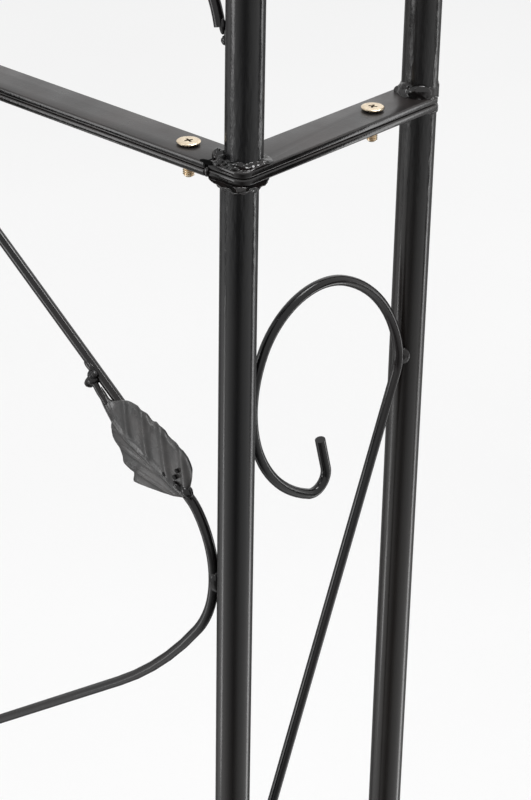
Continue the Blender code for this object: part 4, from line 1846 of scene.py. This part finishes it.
@dataclass(frozen=True)
class PhotoCamera:
    """The camera, at the photograph's place and angle."""

    place: tuple[float, float, float] = (-1.33252, -0.80889, 1.35092)
    azimuth: float = 48.20
    pitch: float = 27.81
    roll: float = -1.02
    lens: float = 104.4
    sensor: float = 36.0
    clip: tuple[float, float] = (0.05, 60.0)

    def build(self) -> None:
        """Makes the scene's camera."""
        data = bpy.data.cameras.new("camera")
        data.lens, data.sensor_width = self.lens, self.sensor
        data.clip_start, data.clip_end = self.clip
        camera = put("camera", data)
        camera.matrix_world = Matrix.Translation(self.place)
        for degrees, axis in ((-self.azimuth, "Z"), (90.0 - self.pitch, "X"), (-self.roll, "Z")):
            camera.matrix_world = camera.matrix_world @ Matrix.Rotation(math.radians(degrees), 4, axis)
        bpy.context.scene.camera = camera


@dataclass(frozen=True)
class Surround:
    """A graded card on the floor round the photographed corner, which only reflections show.

    Its tones run with the angle from the camera's side, as a studio's do: dark where the camera stands and
    pale at its sides. Beyond inner_reach two sectors are dark, which the bars' upright edges reflect.
    """

    camera_side: float = 221.8
    near: float = 0.12
    inner_reach: float = 1.45
    far: float = 6.0
    sectors: Pairs = ((-92.0, -75.0), (87.0, 104.0))
    sector_tone: float = 0.05
    graded_height: float = 0.004
    sector_height: float = 0.006
    steps: int = 72
    tones: Pairs = (
        (-180.0, 0.25), (-125.0, 0.30), (-105.0, 0.85), (-92.0, 1.00), (-64.0, 0.98), (-50.0, 0.78),
        (-35.0, 0.55), (-15.0, 0.24), (0.0, 0.10), (15.0, 0.24), (30.0, 0.50), (45.0, 0.66), (65.0, 0.80),
        (80.0, 0.95), (100.0, 1.00), (115.0, 0.80), (130.0, 0.30), (180.0, 0.25),
    )

    def build(self) -> None:
        """Makes the card and its dark sectors."""
        foot = Vector((-ARCH.outer_x, -ARCH.half_depth, 0.0))
        self.card("graded_card", self.graded(foot), foot, 0.0, 360.0, self.near, self.graded_height)
        dark = self.tone("dark_card", self.sector_tone)
        for index, (start, end) in enumerate(self.sectors):
            middle = math.radians(self.camera_side + (start + end) / 2)
            width, name = end - start, f"dark_card_{index}"
            self.card(name, dark, foot, middle, width, self.inner_reach, self.sector_height)

    def tone(self, name: str, value: float) -> Material:
        """A dull card's material.

        Args:
            name: Its name.
            value: Its tone, from 0 to 1.

        Returns:
            The material.
        """
        made, nodes = new_material(name)
        nodes.finish(nodes.glow((value, value, value, 1.0)))
        return made

    def graded(self, foot: Vector) -> Material:
        """The graded card's material.

        Args:
            foot: The point that the card lies round.

        Returns:
            The material.
        """
        made, nodes = new_material("graded_card")
        about_foot = nodes.add("VectorMath", {0: nodes.place(), 1: foot}, operation="SUBTRACT")
        turn = (0.0, 0.0, math.radians(-self.camera_side))
        placed = {"Vector": about_foot.outputs["Vector"], "Rotation": turn}
        turned = nodes.add("Mapping", placed).outputs["Vector"]
        parts = nodes.add("SeparateXYZ", {"Vector": turned}).outputs
        angle = nodes.calculate("ARCTAN2", parts["Y"], parts["X"])
        stops = [((degrees + 180.0) / 360.0, (tone, tone, tone)) for degrees, tone in self.tones]
        nodes.finish(nodes.glow(nodes.ramp(nodes.map(angle, -math.pi, math.pi, 0.0, 1.0), stops)))
        return made

    def card(
        self, name: str, finish: Material, foot: Vector, middle: float, width: float, near: float,
        height: float,
    ) -> None:
        """Makes one card, a sector of a ring on the floor.

        Args:
            name: Its name.
            finish: Its material.
            foot: The point that it lies round.
            middle: Direction of its middle, in radians from +X.
            width: Its angle, in degrees.
            near: Radius at which it begins.
            height: Above the floor.
        """
        shape = bmesh.new()
        bmesh.ops.create_grid(shape, x_segments=self.steps, y_segments=2, size=1.0)
        half = max(vert.co.x for vert in shape.verts)
        for vert in shape.verts:
            angle = middle + math.radians(width / 2) * vert.co.x / half
            reach = near + (self.far - near) * (vert.co.y / half + 1.0) / 2.0
            vert.co = foot + Vector((reach * math.cos(angle), reach * math.sin(angle), height))
        mesh = mesh_of(shape, name)
        mesh.materials.append(finish)
        card = put(name, mesh)
        card.visible_camera = card.visible_diffuse = card.visible_shadow = False


@dataclass(frozen=True)
class Lamp:
    """A soft lamp, which the camera doesn't see. Its size is its width and height, and its power in watts."""

    name: str
    place: tuple[float, float, float]
    target: tuple[float, float, float]
    size: tuple[float, float]
    power: float

    def build(self) -> None:
        """Makes the lamp."""
        data = bpy.data.lights.new(self.name, "AREA")
        data.shape = "RECTANGLE"
        data.size, data.size_y = self.size
        data.energy = self.power
        lamp = put(self.name, data)
        aim = (Vector(self.target) - Vector(self.place)).normalized()
        turned = aim.to_track_quat("-Z", "Y").to_matrix().to_4x4()
        lamp.matrix_world = Matrix.Translation(self.place) @ turned
        lamp.visible_camera = False


CORNER = (-ARCH.outer_x, -ARCH.half_depth, 0.75)
LAMPS = (
    Lamp("overhead", (0.4, -0.6, 4.2), (0.0, 0.0, 0.8), (1.5, 1.5), 95.0),
    Lamp("behind", (2.25, 0.70, 2.65), (-0.6, -0.1, 1.0), (2.2, 1.7), 5.0),
    Lamp("right_strip", (0.04, -0.62, 0.42), CORNER, (0.15, 0.80), 1.25),
    Lamp("left_strip", (-1.44, 0.49, 0.21), CORNER, (0.16, 0.44), 0.85),
    Lamp("left_wing", (-1.95, 0.62, 0.90), (-0.70, -0.09, 0.83), (0.50, 0.80), 6.5),
    Lamp("high_left", (-2.07, 0.155, 3.05), CORNER, (0.30, 0.30), 7.0),
)


@dataclass(frozen=True)
class Studio:
    """A pale floor, soft lamps, a graded card and a white surround."""

    floor_reach: float = 14.0
    floor_steps: int = 4
    fill: float = 0.62
    floor_glow: float = 0.62
    paper_scale: float = 2.0
    paper_tones: tuple[float, float] = (0.80, 0.83)
    paper_roughness: float = 0.8

    def build(self) -> None:
        """Makes the floor, the world, the lamps and the card."""
        bpy.context.scene.view_settings.view_transform = "Standard"
        self.build_floor()
        self.build_world()
        Surround().build()
        for lamp in LAMPS:
            lamp.build()

    def build_world(self) -> None:
        """Makes the white surround, which lights the object more softly than it looks."""
        world = bpy.data.worlds.new("surround")
        world.use_nodes = True
        bpy.context.scene.world = world
        nodes = Nodes(world.node_tree)
        dim = nodes.add("Background", {"Color": WHITE, "Strength": self.fill})
        white = nodes.add("Background", {"Color": WHITE, "Strength": 1.0})
        nodes.finish(nodes.mix(nodes.seen(), dim, white), "OutputWorld")

    def build_floor(self) -> None:
        """Makes the floor, which keeps a faint shadow."""
        made, nodes = new_material("floor_paper")
        stops = [(place, (tone, tone, tone)) for place, tone in zip(NOISE_MIDDLE, self.paper_tones)]
        colour = nodes.ramp(nodes.noise(self.paper_scale, 2.0), stops)
        paper = nodes.add("BsdfPrincipled", {"Base Color": colour, "Roughness": self.paper_roughness})
        share = nodes.calculate("MULTIPLY", nodes.seen(), self.floor_glow)
        nodes.finish(nodes.mix(share, paper, nodes.glow(WHITE)))
        shape = bmesh.new()
        steps = self.floor_steps
        bmesh.ops.create_grid(shape, x_segments=steps, y_segments=steps, size=self.floor_reach)
        mesh = mesh_of(shape, "floor")
        mesh.materials.append(made)
        floor = put("floor", mesh)


def main() -> None:
    """Builds the camera, the studio and every part of the arch."""
    logging.basicConfig(level=logging.INFO, format="%(message)s")
    PhotoCamera().build()
    Studio().build()
    tubes, welds, scrolls = Tubes(), Welds(), Scrolls()
    vines = Vines(scrolls, Leaf())
    Bars().build()
    Screws().build()
    for side in Side:
        tubes.build(side)
        welds.build(side)
        vines.build_rung(side)
        for face in Face:
            for level in Level:
                scrolls.build(side, face, level)
                vines.build(side, face, level)
    welds.build_crown()


if __name__ == "__main__":
    main()
